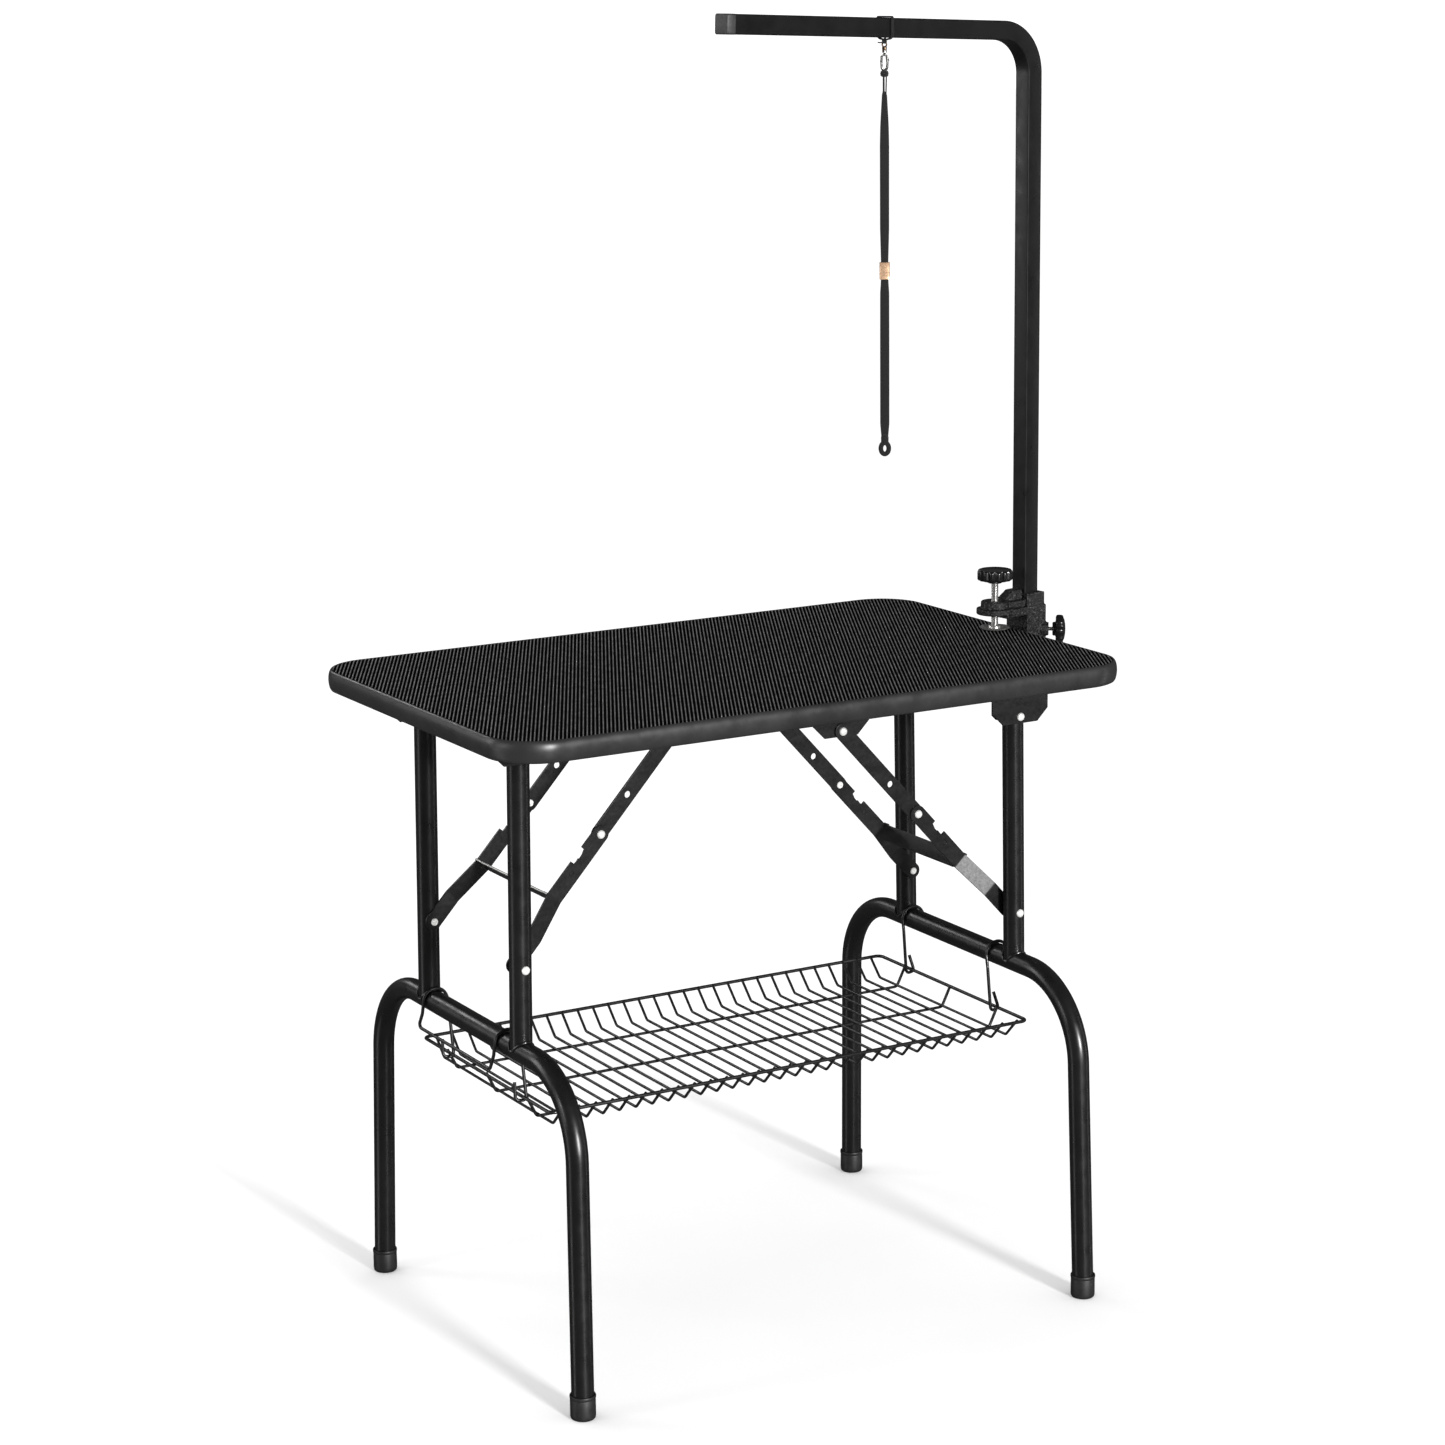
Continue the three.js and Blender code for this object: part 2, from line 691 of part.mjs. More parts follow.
const clamp = new THREE.Group();
clamp.position.set(CLAMP_X, CLAMP_Y, 0);
clamp.rotation.z = CLAMP_TURN;
table.add(clamp);

// The casting: a spine round the post, an arm over the top with a boss for the screw, and a jaw below.
function clampBody() {
  const spineHalf = 18.5;
  const spineTop = 790.6;
  const spine = block([-13.3, -spineHalf, JAW_BOTTOM], [18.7, spineHalf, spineTop]);
  const collar = block([-13, -17.2, spineTop - 0.6], [16.8, 17.2, COLLAR_TOP]);
  const web = polygon([
    [SCREW_X, -20.5],
    [-13, -spineHalf],
    [-13, spineHalf],
    [SCREW_X, 20.5],
  ]);
  const arm = plateXY(web, ARM_PLATE_BOTTOM, ARM_PLATE_BOTTOM + 10);
  const flange = rod([SCREW_X, 0, 785], [SCREW_X, 0, 792], 22.3, 24);
  const boss = rod([SCREW_X, 0, 784], [SCREW_X, 0, 801], 17, 20);
  const bridge = block([SCREW_X + 4, -13, 785], [-12, 13, 799]);
  const ribHalf = 7;
  const ribTop = 811.5;
  const rib = plateXZ(
    polygon([
      [-42, 797],
      [-42, 801],
      [-26, ribTop],
      [-11, ribTop],
      [-11, 797],
    ]),
    -ribHalf,
    ribHalf,
  );
  const jawTop = UNDERSIDE - GAP;
  const jawHalf = 17;
  const jawTip = -48;
  const jaw = join(
    block([jawTip, -jawHalf, JAW_BOTTOM + 0.2], [-12, jawHalf, jawTop]),
    rod([jawTip, 0, JAW_BOTTOM + 0.2], [jawTip, 0, jawTop], jawHalf, 20),
  );
  const lockAxis = [Math.cos(LOCK_ANGLE), Math.sin(LOCK_ANGLE)];
  const along = (distance) => [lockAxis[0] * distance, lockAxis[1] * distance, LOCK_HEIGHT];
  const lockBoss = rod(along(16), along(29.3), LOCK_COLLAR_RADIUS, 14);
  const bore = POST_SIZE / 2 + GAP;
  return cut(
    join(spine, collar, arm, flange, boss, bridge, rib, jaw, lockBoss),
    block([-bore, -bore, JAW_BOTTOM - 7], [bore, bore, ribTop + 9]),
    rod([SCREW_X, 0, ARM_PLATE_BOTTOM - 6], [SCREW_X, 0, COLLAR_TOP], SCREW_RADIUS + GAP, 12),
    rod(along(8), along(40), LOCK_SCREW_RADIUS + GAP, 8),
  );
}

// A knob with rounded lobes, its axis along Z.
function lobedKnob(radius, depth, lobes, profileTop) {
  const outline = new THREE.Shape();
  const steps = lobes * 4;
  for (let i = 0; i < steps; i++) {
    const angle = (2 * Math.PI * i) / steps;
    const reach = radius - depth * (0.5 - 0.5 * Math.cos(lobes * angle)) ** 2;
    const point = [reach * Math.cos(angle), reach * Math.sin(angle)];
    if (i === 0) outline.moveTo(...point);
    else outline.lineTo(...point);
  }
  return plateXY(outline, 0, profileTop);
}

function addClamp() {
  add(clamp, "clamp_body", clampBody(), crinkleBlack);

  const pad = turned(
    [
      [0, 0],
      [15, 0],
      [19, 2],
      [19, 3],
      [8, 2],
      [7.6, 5],
      [5, 5.6],
      [5, 3],
      [0, 3],
    ],
    16,
  );
  add(clamp, "clamp_pad", pad, chrome).position.set(SCREW_X, 0, TOP_HEIGHT + GAP);

  const screwBottom = TOP_HEIGHT + GAP + 3 + GAP;
  const screw = rod([SCREW_X, 0, screwBottom], [SCREW_X, 0, KNOB_BOTTOM + 6], SCREW_RADIUS, 12);
  add(clamp, "clamp_screw", screw, chrome);
  const knob = cut(
    join(lobedKnob(21.4, 1.6, 15, 13.6), rod([0, 0, -3], [0, 0, 1], 9, 16)),
    rod([0, 0, -10], [0, 0, 6 + GAP], SCREW_RADIUS + GAP, 12),
    turned(
      [
        [0, 11.4],
        [15, 12.4],
        [18.5, 14],
        [0, 14],
      ],
      16,
    ),
  );
  add(clamp, "clamp_knob", knob, blackPlastic).position.set(SCREW_X, 0, KNOB_BOTTOM);

  const lock = new THREE.Group();
  lock.position.z = LOCK_HEIGHT;
  lock.rotation.set(0, Math.PI / 2, LOCK_ANGLE, "ZYX");
  clamp.add(lock);
  const lockScrew = plateXY(circle(LOCK_SCREW_RADIUS, 8), LOCK_SCREW_START, LOCK_SCREW_END);
  add(lock, "arm_lock_screw", lockScrew, chrome);
  const lockKnob = cut(
    join(
      lobedKnob(17.5, 2, 8, 9.8).translate(0, 0, 37.7),
      rod([0, 0, 33.9], [0, 0, 38], LOCK_COLLAR_RADIUS, 14),
      turned(
        [
          [0, 47],
          [13, 47],
          [12, 48.6],
          [6, 49.7],
          [0, 49.9],
        ],
        16,
      ),
    ),
    rod([0, 0, 30], [0, 0, LOCK_SCREW_END + GAP], LOCK_SCREW_RADIUS + GAP, 8),
  );
  add(lock, "arm_lock_knob", lockKnob, blackPlastic);
}

function addArm() {
  const corner = [0, 0, ARM_CORNER_HEIGHT];
  const tip = [
    -ARM_LENGTH * Math.cos(ARM_RISE),
    0,
    ARM_CORNER_HEIGHT + ARM_LENGTH * Math.sin(ARM_RISE),
  ];
  const back = (distance) => [
    tip[0] + distance * Math.cos(ARM_RISE),
    0,
    tip[2] - distance * Math.sin(ARM_RISE),
  ];
  const half = POST_SIZE / 2;
  const inner = half - POST_WALL;
  const section = polygon([
    [-half, -half],
    [half, -half],
    [half, half],
    [-half, half],
  ]);
  section.holes.push(
    new THREE.Path(
      [
        [-inner, -inner],
        [-inner, inner],
        [inner, inner],
        [inner, -inner],
      ].map(([x, y]) => new THREE.Vector2(x, y)),
    ),
  );
  const route = rounded([[0, 0, POST_BOTTOM], corner, back(CAP_LENGTH)], ARM_BEND_RADIUS, 8);
  add(clamp, "arm_tube", sweep(section, route), glossBlack);

  const cap = block([GAP, -half - 0.2, -half - 0.2], [CAP_LENGTH, half + 0.2, half + 0.2]);
  const endCap = add(clamp, "arm_end_cap", cap, blackPlastic);
  endCap.position.set(...back(CAP_LENGTH));
  endCap.rotation.y = Math.PI + ARM_RISE;
}

function addNoose() {
  const barZ = ARM_CORNER_HEIGHT - NOOSE_X * Math.tan(ARM_RISE);
  const cord = 1;
  const knotZ = NOOSE_PIVOT_Z + 11;
  const half = POST_SIZE / 2 + cord + 0.4;
  const tie = (sign) => [
    [NOOSE_X, 0, barZ + half + 0.2],
    [NOOSE_X, sign * half, barZ + half + 0.2],
    [NOOSE_X, sign * half, barZ - half],
    [NOOSE_X, sign * 1, knotZ + 1.4],
    [NOOSE_X, 0, knotZ],
  ];
  const strands = [1, -1].map((sign) =>
    sweep(circle(cord, 6), tie(sign).map((point) => new THREE.Vector3(...point))),
  );
  const clip = rod([NOOSE_X, 0, NOOSE_PIVOT_Z + NOOSE_EYE_RADIUS + 0.4], [NOOSE_X, 0, knotZ + 1], 2.8, 8);
  add(clamp, "noose_tie", join(...strands, clip), blackNylon);

  const noose = new THREE.Group();
  noose.position.set(NOOSE_X, 0, NOOSE_PIVOT_Z);
  noose.rotation.z = NOOSE_TURN;
  clamp.add(noose);

  const eye = cut(rod([0, -0.9, 0], [0, 0.9, 0], NOOSE_EYE_RADIUS, 12), rod([0, -3, 0], [0, 3, 0], 1.6, 10));
  const barrel = rod([0, 0, -2.6], [0, 0, -16], 3.4, 10);
  const hook = cut(
    rod([0, -1.2, -23.5], [0, 1.2, -23.5], 8.2, 14).scale(0.72, 1, 1),
    rod([0, -3, -24], [0, 3, -24], 5.6, 12).scale(0.62, 1, 1),
  );
  add(noose, "noose_hook", join(eye, barrel, hook), brightZinc);

  const strapBottom = -445;
  const loopBottom = -467;
  const loopHalf = 8.5;
  const neckHalf = 2;
  const outline = polygon([
    [neckHalf, STRAP_TOP],
    [neckHalf, STRAP_TOP - 22],
    [STRAP_HALF, STRAP_TOP - 60],
    [STRAP_HALF, strapBottom],
    [loopHalf, strapBottom - 12],
    [5, loopBottom],
    [-5, loopBottom],
    [-loopHalf, strapBottom - 12],
    [-STRAP_HALF, strapBottom],
    [-STRAP_HALF, STRAP_TOP - 60],
    [-neckHalf, STRAP_TOP - 22],
    [-neckHalf, STRAP_TOP],
  ]);
  const loopHole = rod([0, -4, strapBottom - 11], [0, 4, strapBottom - 11], 5, 12);
  const flat = STRAP_THICKNESS / 2;
  add(noose, "noose_strap", cut(plateXZ(outline, -flat, flat), loopHole), blackNylon);

  const sleeveWall = 0.5;
  const sleeveX = STRAP_HALF + GAP;
  const sleeveY = flat + GAP;
  const sleeveBottom = -260.5;
  const sleeveTop = -241;
  const slider = cut(
    block(
      [-sleeveX - sleeveWall, -sleeveY - 1.4, sleeveBottom],
      [sleeveX + sleeveWall, sleeveY + 1.4, sleeveTop],
    ),
    block([-sleeveX, -sleeveY, sleeveBottom - 9], [sleeveX, sleeveY, sleeveTop + 9]),
  );
  add(noose, "noose_slider", slider, copper);
}

addTabletop();
addEnd("left", -1);
addEnd("right", 1);
addBasket();
addClamp();
addArm();
addNoose();

export default table;
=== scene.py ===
"""Looks of the folding grooming table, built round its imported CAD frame.

Lengths are millimetres in the table's own frame unless a name says otherwise. X runs along the top, Y across
it and Z up from the floor, and the middle of the top is at X = 0. Each piece is scaled and moved into the
row's frame as it is made.
"""

import json
import random
from math import atan2, copysign, cos, degrees, hypot, pi, radians, sin, sqrt, tan

import bmesh
import bpy
from mathutils import Matrix, Quaternion, Vector

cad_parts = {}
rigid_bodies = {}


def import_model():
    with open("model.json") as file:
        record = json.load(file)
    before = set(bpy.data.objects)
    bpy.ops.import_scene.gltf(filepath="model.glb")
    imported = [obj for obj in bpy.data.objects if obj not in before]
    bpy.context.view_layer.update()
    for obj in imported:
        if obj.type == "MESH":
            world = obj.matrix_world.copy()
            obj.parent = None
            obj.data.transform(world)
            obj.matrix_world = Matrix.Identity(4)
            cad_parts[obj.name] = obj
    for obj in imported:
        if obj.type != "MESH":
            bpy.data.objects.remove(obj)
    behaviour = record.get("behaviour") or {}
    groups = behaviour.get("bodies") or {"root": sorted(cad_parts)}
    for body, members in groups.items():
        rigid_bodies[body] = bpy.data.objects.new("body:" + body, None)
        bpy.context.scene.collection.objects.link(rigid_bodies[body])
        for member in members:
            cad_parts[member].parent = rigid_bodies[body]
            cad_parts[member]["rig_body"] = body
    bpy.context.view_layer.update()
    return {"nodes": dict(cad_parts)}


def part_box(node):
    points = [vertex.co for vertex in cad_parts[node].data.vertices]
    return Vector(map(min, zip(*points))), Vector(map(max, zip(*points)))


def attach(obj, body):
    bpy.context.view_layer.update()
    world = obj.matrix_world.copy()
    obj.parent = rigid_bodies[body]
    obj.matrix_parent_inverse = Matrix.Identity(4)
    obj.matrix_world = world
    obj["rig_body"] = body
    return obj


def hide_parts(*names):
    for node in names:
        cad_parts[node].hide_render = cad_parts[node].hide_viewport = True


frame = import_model()

METRE = 0.001
mat_low, mat_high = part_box("tabletop_mat")
MIDDLE_X = (mat_low.x + mat_high.x) / 2
TABLE = Matrix.Translation((MIDDLE_X, 0, 0)) @ Matrix.Scale(METRE, 4)
IN_PLACE = Matrix.Identity(4)

# Camera: lens in millimetres, turns in degrees, and where it stands
LENS = 86.41
YAW = 30.004
PITCH = 12.518
ROLL = -0.654
CAMERA_STAND = (-1978.7, -3424.5, 1572.9)

# Tabletop
TOP_LENGTH = 813
TOP_WIDTH = 515.6
TOP_HEIGHT = 765.9
TOP_CORNER_RADIUS = 60
UNDERSIDE = TOP_HEIGHT - 24.9
TRIM_LIP = 5
MAT_INSET = 5.3
MAT_THICKNESS = 2.7
RIB_PITCH = 4.28
RIB_HEIGHT = 2.2
RIB_TURN = 28

# Legs
TUBE_RADIUS = 12.7
TUBE_WALL = 1.4
PIVOT_X = 328
PIVOT_HEIGHT = {"right": 687, "left": 721}
LEG_LEAN = 0.8
UPRIGHT_Y = 118.3
BOW_HEIGHT = 383
BOW_CORNER_Y = 247.5
FOOT_Y = 259.3
BOW_BEND = 97
FOOT_HEIGHT = 28
FOOT_RADIUS = 14.4

# Braces
BRACE_FOOT_DROP = 242
BRACE_X = 110
LINK_WIDTH = 20
LINK_THICKNESS = 2.6
UPPER_LINK_Y = 84.7
LOWER_LINK_Y = 87.7
LOWER_LINK_END_Y = 102.6
LOWER_BEND = 87
LOWER_BEND_END = 37
EAR = 1.75
PUNCH_FROM_ELBOW = 55
PUNCH_Z = -1
PUNCH_RADIUS = 2.6
SPARE_HOLE_SHARE = 0.64
SPARE_HOLE_RADIUS = 4

# Brackets under the top
SHEET = 2.4
SHEET_GAP = 0.3
SHEET_BEND = 3.2
SCREW_SEAT = UNDERSIDE - 2.7
LEG_SCREWS_X = 29
BRACE_SCREWS_X = 26
BRACE_SCREWS_Y = 71.5

# Basket and hangers
RIM_X = 321
RIM_Y = 163
RIM_Z = 321
RIM_WIRE = 2.1
FLOOR_X = 306
FLOOR_Y = 140
FLOOR_Z = 300
FLOOR_WIRE = 1.7
CROSS_WIRES = 30
HANGER_WIRE = 2.0
SPREADER_DROP = {-1: 32, 1: 15}

# Clamp, arm and noose
CLAMP = Matrix.Translation((430, 4, 0)) @ Matrix.Rotation(radians(9), 4, "Z")
SCREW_X = -50.5
LOCK_HEIGHT = 760
LOCK_TURN = -45
POST_HALF = 11.2
POST_WALL = 1.5
POST_BOTTOM = 690
ARM_CORNER_HEIGHT = 1478.3
ARM_RISE = radians(2.2)
ARM_LENGTH = 469.4
ARM_BEND = 51
CAP_LENGTH = 12
NOOSE_X = -229
NOOSE_TOP = 1462
NOOSE_TURN = -39
NOOSE_PLACE = Matrix.Translation((NOOSE_X, 0, NOOSE_TOP)) @ Matrix.Rotation(radians(NOOSE_TURN), 4, "Z")
NOOSE = CLAMP @ NOOSE_PLACE
STRAP_TOP = -32.5
# How far down the strap, and half its width there
STRAP_HALF_WIDTHS = [
    (0, 1.2), (15, 1.2), (16.6, 2.9), (52, 4.9), (75, 5.4), (170, 5.3), (200, 4.5), (208, 4.3),
    (230, 4.4), (244, 5.3), (300, 5.4), (396, 5.4), (410, 4.2), (418, 3.2),
]
KNOT_Z = STRAP_TOP + 6
SLIDER_ENDS = (-260.5, -241)
LOOP_CENTRE = -457.5
LOOP_RADIUS = 6.6

# Light: strengths of the white room for soft light, for reflections and for the eye
SKY_SOFT = 0.89
SKY_REFLECTED = 0.07
SKY_SEEN = 1.2
SUN_POWER = 4.3
SUN_SPREAD = 8
SUN_AZIMUTH = -87
SUN_HEIGHT = 12
FLOOR_REACH = 30
# name, azimuth in degrees, middle height, width and height in metres, power in watts
SOFT_BOXES = [
    ("front_strip", -92, 0.2, 0.35, 4.6, 17),
    ("left_strip", 166, -0.4, 0.9, 3.4, 15),
    ("bend_box", 178, 1.55, 0.5, 0.8, 16),
    ("back_left_box", 107, 2.4, 0.9, 1.0, 16),
    ("high_left_box", 138, 1.75, 1.0, 1.9, 26),
    ("right_strip", -25, 0.4, 0.25, 3.6, 9),
]


# Camera ----


def add_camera():
    """The photograph's own view: a long lens, a little above the top, from the front left."""
    data = bpy.data.cameras.new("Camera")
    data.lens = LENS
    data.sensor_width = 36
    data.clip_end = 100
    yaw, pitch, roll = (radians(a) for a in (YAW, PITCH, ROLL))
    forward = Vector(
        (sin(yaw) * cos(pitch), cos(yaw) * cos(pitch), -sin(pitch))
    )
    level = Vector((cos(yaw), -sin(yaw), 0))
    right = level * cos(roll) + level.cross(forward) * sin(roll)
    up = right.cross(forward)
    camera = bpy.data.objects.new("Camera", data)
    place = Matrix((right, up, -forward)).transposed().to_4x4()
    place.translation = TABLE @ Vector(CAMERA_STAND)
    camera.matrix_world = place
    bpy.context.scene.collection.objects.link(camera)
    bpy.context.scene.camera = camera


add_camera()

# Materials ----


class Finish:
    """A node material, with its texture coordinates in metres on the piece as it stands at rest."""

    def __init__(self, name, roughness, metallic=0.0, coat=0.0, specular=0.5):
        self.material = bpy.data.materials.new(name)
        self.material.use_nodes = True
        self.tree = self.material.node_tree
        self.shader = self.tree.nodes["Principled BSDF"]
        self.normal = None
        self.coordinates = self.node("ShaderNodeTexCoord").outputs["Object"]
        values = {"Metallic": metallic, "Roughness": roughness, "Specular IOR Level": specular}
        self.set(values | {"Coat Weight": coat, "Coat Roughness": 0.12})

    def set(self, values):
        for socket, value in values.items():
            self.shader.inputs[socket].default_value = value

    def feed(self, source, socket):
        self.tree.links.new(source, self.shader.inputs[socket])

    def node(self, kind, values=(), sources=()):
        """A node with values on some of its sockets and sources linked to others."""
        node = self.tree.nodes.new(kind)
        for socket, value in dict(values).items():
            node.inputs[socket].default_value = value
        for socket, source in dict(sources).items():
            self.tree.links.new(source, node.inputs[socket])
        return node

    def texture(self, kind, per_metre, vector=None, **more):
        values = {"Scale": per_metre} | {name.title(): value for name, value in more.items()}
        return self.node(f"ShaderNodeTex{kind}", values, {"Vector": vector or self.coordinates})

    def mapped(self, scale=(1, 1, 1), turn=(0, 0, 0)):
        values = {"Scale": scale, "Rotation": [radians(a) for a in turn]}
        return self.node("ShaderNodeMapping", values, {"Vector": self.coordinates}).outputs[0]

    def noise(self, per_metre, detail=3.0, roughness=0.55, vector=None):
        return self.texture("Noise", per_metre, vector, detail=detail, roughness=roughness).outputs["Fac"]

    def cells(self, per_metre):
        return self.texture("Voronoi", per_metre).outputs["Distance"]

    def waves(self, per_metre, direction, vector=None):
        node = self.texture("Wave", per_metre, vector)
        node.bands_direction = direction
        return node.outputs["Fac"]

    def spread(self, source, low, high, start=0.3, end=0.7):
        values = {"From Min": start, "From Max": end, "To Min": low, "To Max": high}
        return self.node("ShaderNodeMapRange", values, {"Value": source}).outputs["Result"]

    def product(self, one, other):
        node = self.node("ShaderNodeMath", sources={0: one, 1: other})
        node.operation = "MULTIPLY"
        return node.outputs[0]

    def colours(self, source, stops):
        """Base colour from a pattern, through stops of (place, (red, green, blue))."""
        node = self.node("ShaderNodeValToRGB", sources={"Fac": source})
        ramp = node.color_ramp
        while len(ramp.elements) < len(stops):
            ramp.elements.new(0.5)
        for element, (place, colour) in zip(ramp.elements, stops):
            element.position = place
            element.color = (*colour, 1)
        self.feed(node.outputs["Color"], "Base Color")

    def rough(self, source, low, high):
        self.feed(self.spread(source, low, high), "Roughness")

    def bump(self, source, depth, strength=1.0):
        """Raises the surface by a pattern, depth in metres, on top of any bump it has."""
        sources = {"Height": source}
        if self.normal:
            sources["Normal"] = self.normal
        node = self.node("ShaderNodeBump", {"Distance": depth, "Strength": strength}, sources)
        self.normal = node.outputs["Normal"]
        self.feed(self.normal, "Normal")


def grey(value, warmth=0.0):
    return (value * (1 + warmth), value, value * (1 - warmth))


def powder_coat(name, value, roughness, coat, peel, specular=0.5):
    """Baked paint: a faint orange-peel skin, with a little dust and haze in its gloss."""
    finish = Finish(name, roughness, coat=coat, specular=specular)
    haze = finish.noise(14, 5)
    finish.colours(haze, [(0.3, grey(value)), (0.75, grey(value * 1.7))])
    finish.rough(finish.noise(60, 4), roughness * 0.8, roughness * 1.25)
    finish.bump(finish.noise(420, 2), peel)
    return finish.material


def plated(name, colour, roughness, scratch, metallic=1.0):
    """Plated metal with fine scratches and uneven brightness."""
    finish = Finish(name, roughness, metallic=metallic)
    dull = tuple(c * 0.72 for c in colour)
    finish.colours(finish.noise(260, 4), [(0.3, dull), (0.7, colour)])
    finish.rough(finish.noise(700, 3), roughness * 0.7, roughness * 1.6)
    finish.bump(finish.noise(2600, 2, vector=finish.mapped((1, 1, 0.12))), scratch)
    return finish.material


def moulded(name, value, roughness, grain, coat=0.0):
    """Moulded plastic or rubber with a fine grain and a few paler scuffs."""
    finish = Finish(name, roughness, coat=coat)
    scuffs = finish.product(finish.noise(55, 6, 0.7), finish.noise(340, 3))
    finish.colours(scuffs, [(0.2, grey(value)), (0.42, grey(value * 1.9))])
    finish.rough(finish.noise(180, 4), roughness * 0.85, roughness * 1.15)
    finish.bump(finish.noise(2300, 2), grain)
    return finish.material


def strap_steel():
    """Satin black paint on rolled strip, worn a little in streaks."""
    finish = Finish("satin_strap_steel", 0.36, specular=0.4)
    streaks = finish.noise(40, 5, vector=finish.mapped((1, 1, 3), (0, 47, 0)))
    finish.colours(streaks, [(0.35, grey(0.004)), (0.72, grey(0.01))])
    finish.rough(finish.noise(300, 4), 0.3, 0.42)
    finish.bump(finish.noise(1500, 3), 0.00004)
    return finish.material


def crinkle():
    """Wrinkle paint on a casting: small raised worms over the whole skin."""
    finish = Finish("crinkle_casting", 0.5, specular=0.3)
    worms = finish.noise(520, 4, 0.7)
    finish.colours(worms, [(0.5, grey(0.003)), (0.58, grey(0.015)), (0.68, grey(0.1))])
    finish.rough(worms, 0.3, 0.6)
    finish.bump(worms, 0.001)
    finish.bump(finish.cells(420), 0.0004, 0.6)
    return finish.material


def ribbed_rubber():
    """Dull rubber whose rib tops are painted lighter: a little dust, and a painted sheen where light catches
    the crests.
    """
    finish = Finish("mat_rubber", 0.55, specular=0.6)
    height = finish.node("ShaderNodeSeparateXYZ", sources={0: finish.coordinates})
    top = TOP_HEIGHT * METRE
    crest = finish.spread(height.outputs["Z"], 0.0, 1.0, top - 0.0009, top - 0.00005)
    # Rib tops painted lighter by the crest mask: a painted sheen on the crests with dust in it, while the
    # grooves stay near black.
    dust_and_sheen = finish.product(crest, finish.spread(finish.noise(90, 5), 0.55, 1.0))
    finish.colours(dust_and_sheen, [(0.0, grey(0.003)), (0.5, grey(0.03)), (1.0, grey(0.17))])
    finish.rough(finish.noise(220, 4), 0.46, 0.62)
    # More specular on the crests than in the grooves, along with the painted sheen.
    finish.feed(finish.spread(crest, 0.0, 0.6, 0, 1), "Specular IOR Level")
    finish.bump(finish.noise(2000, 3), 0.00005)
    return finish.material


def plywood():
    """Dark faced board, its grain running along the top."""
    finish = Finish("plywood", 0.6)
    grain = finish.noise(30, 8, 0.65, finish.mapped((1, 14, 14)))
    finish.colours(
        grain, [(0.3, (0.016, 0.013, 0.010)), (0.55, (0.034, 0.027, 0.021)), (0.8, (0.05, 0.04, 0.03))]
    )
    finish.rough(grain, 0.5, 0.72)
    finish.bump(grain, 0.00025)
    return finish.material


def webbing():
    """Woven nylon: ribs across the strap, crossed by finer yarns along it."""
    finish = Finish("nylon", 0.8, specular=0.3)
    finish.set({"Sheen Weight": 0.12, "Sheen Roughness": 0.4})
    picks = finish.waves(330, "Z")
    yarns = finish.waves(420, "X", finish.mapped(turn=(0, 0, 30)))
    weave = finish.product(picks, yarns)
    finish.colours(weave, [(0.0, grey(0.004)), (0.7, grey(0.016))])
    finish.rough(finish.noise(900, 3), 0.7, 0.9)
    finish.bump(weave, 0.0004, 0.8)
    finish.bump(finish.noise(3000, 2), 0.00008)
    return finish.material


FINISHES = {
    "plywood": plywood(),
    "mat_rubber": ribbed_rubber(),
    "edge_trim": powder_coat("edge_trim", 0.012, 0.36, 0.0, 0.00001),
    "gloss_powder_coat": powder_coat("gloss_powder_coat", 0.004, 0.3, 0.0, 0.000004),
    "arm_powder_coat": powder_coat("arm_powder_coat", 0.003, 0.34, 0.0, 0.00003, 0.3),
    "satin_strap_steel": strap_steel(),
    "crinkle_casting": crinkle(),
    "zinc_rivet": plated("zinc_rivet", (0.92, 0.92, 0.9), 0.32, 0.00003, 0.45),
    "chrome_steel": plated("chrome_steel", (0.66, 0.65, 0.64), 0.24, 0.000004, 0.9),
    "knob_plastic": moulded("knob_plastic", 0.003, 0.24, 0.00002, coat=0.2),
    "cap_plastic": moulded("cap_plastic", 0.016, 0.5, 0.00004),
    "foot_rubber": moulded("foot_rubber", 0.008, 0.5, 0.00006),
    "coated_wire": powder_coat("coated_wire", 0.006, 0.32, 0.2, 0.00005),
    "nylon": webbing(),
    "copper_slider": plated("copper_slider", (0.86, 0.56, 0.36), 0.26, 0.00002, 0.7),
    "clip_bronze": plated("clip_bronze", (0.11, 0.075, 0.05), 0.3, 0.00004),
    "link_steel": plated("link_steel", (0.3, 0.3, 0.29), 0.2, 0.00002),
    # Light metal for a thin rod on the crossbar's top edge: a painted highlight.
    "bare_edge": plated("bare_edge", (0.8, 0.8, 0.77), 0.4, 0.00002, 0.3),
    # Near-black for discs laid in the punched dents: painted shade.
    "hole_black": moulded("hole_black", 0.001, 0.8, 0.00002),
}

# Shapes: each is (points, faces) in millimetres ----


def move(x=0, y=0, z=0):
    return Matrix.Translation((x, y, z))


def turn(axis, angle):
    return Matrix.Rotation(radians(angle), 4, axis)


def linked(name, data):
    """A new object in the scene."""
    obj = bpy.data.objects.new(name, data)
    bpy.context.scene.collection.objects.link(obj)
    return obj


def placed(shape, place):
    points, faces = shape
    return [place @ Vector(p) for p in points], faces


def merged(shapes):
    points, faces = [], []
    for more_points, more_faces in shapes:
        start = len(points)
        points += more_points
        faces += [[start + i for i in face] for face in more_faces]
    return points, faces


def polar(reach, angle, z=0.0):
    return Vector((reach * cos(angle), reach * sin(angle), z))


def circle(radius, sides):
    return [polar(radius, 2 * pi * i / sides).to_2d() for i in range(sides)]


def mirrored(points):
    """The points across the table's middle line, in the opposite order."""
    return [(x, -y, z) for x, y, z in reversed(points)]


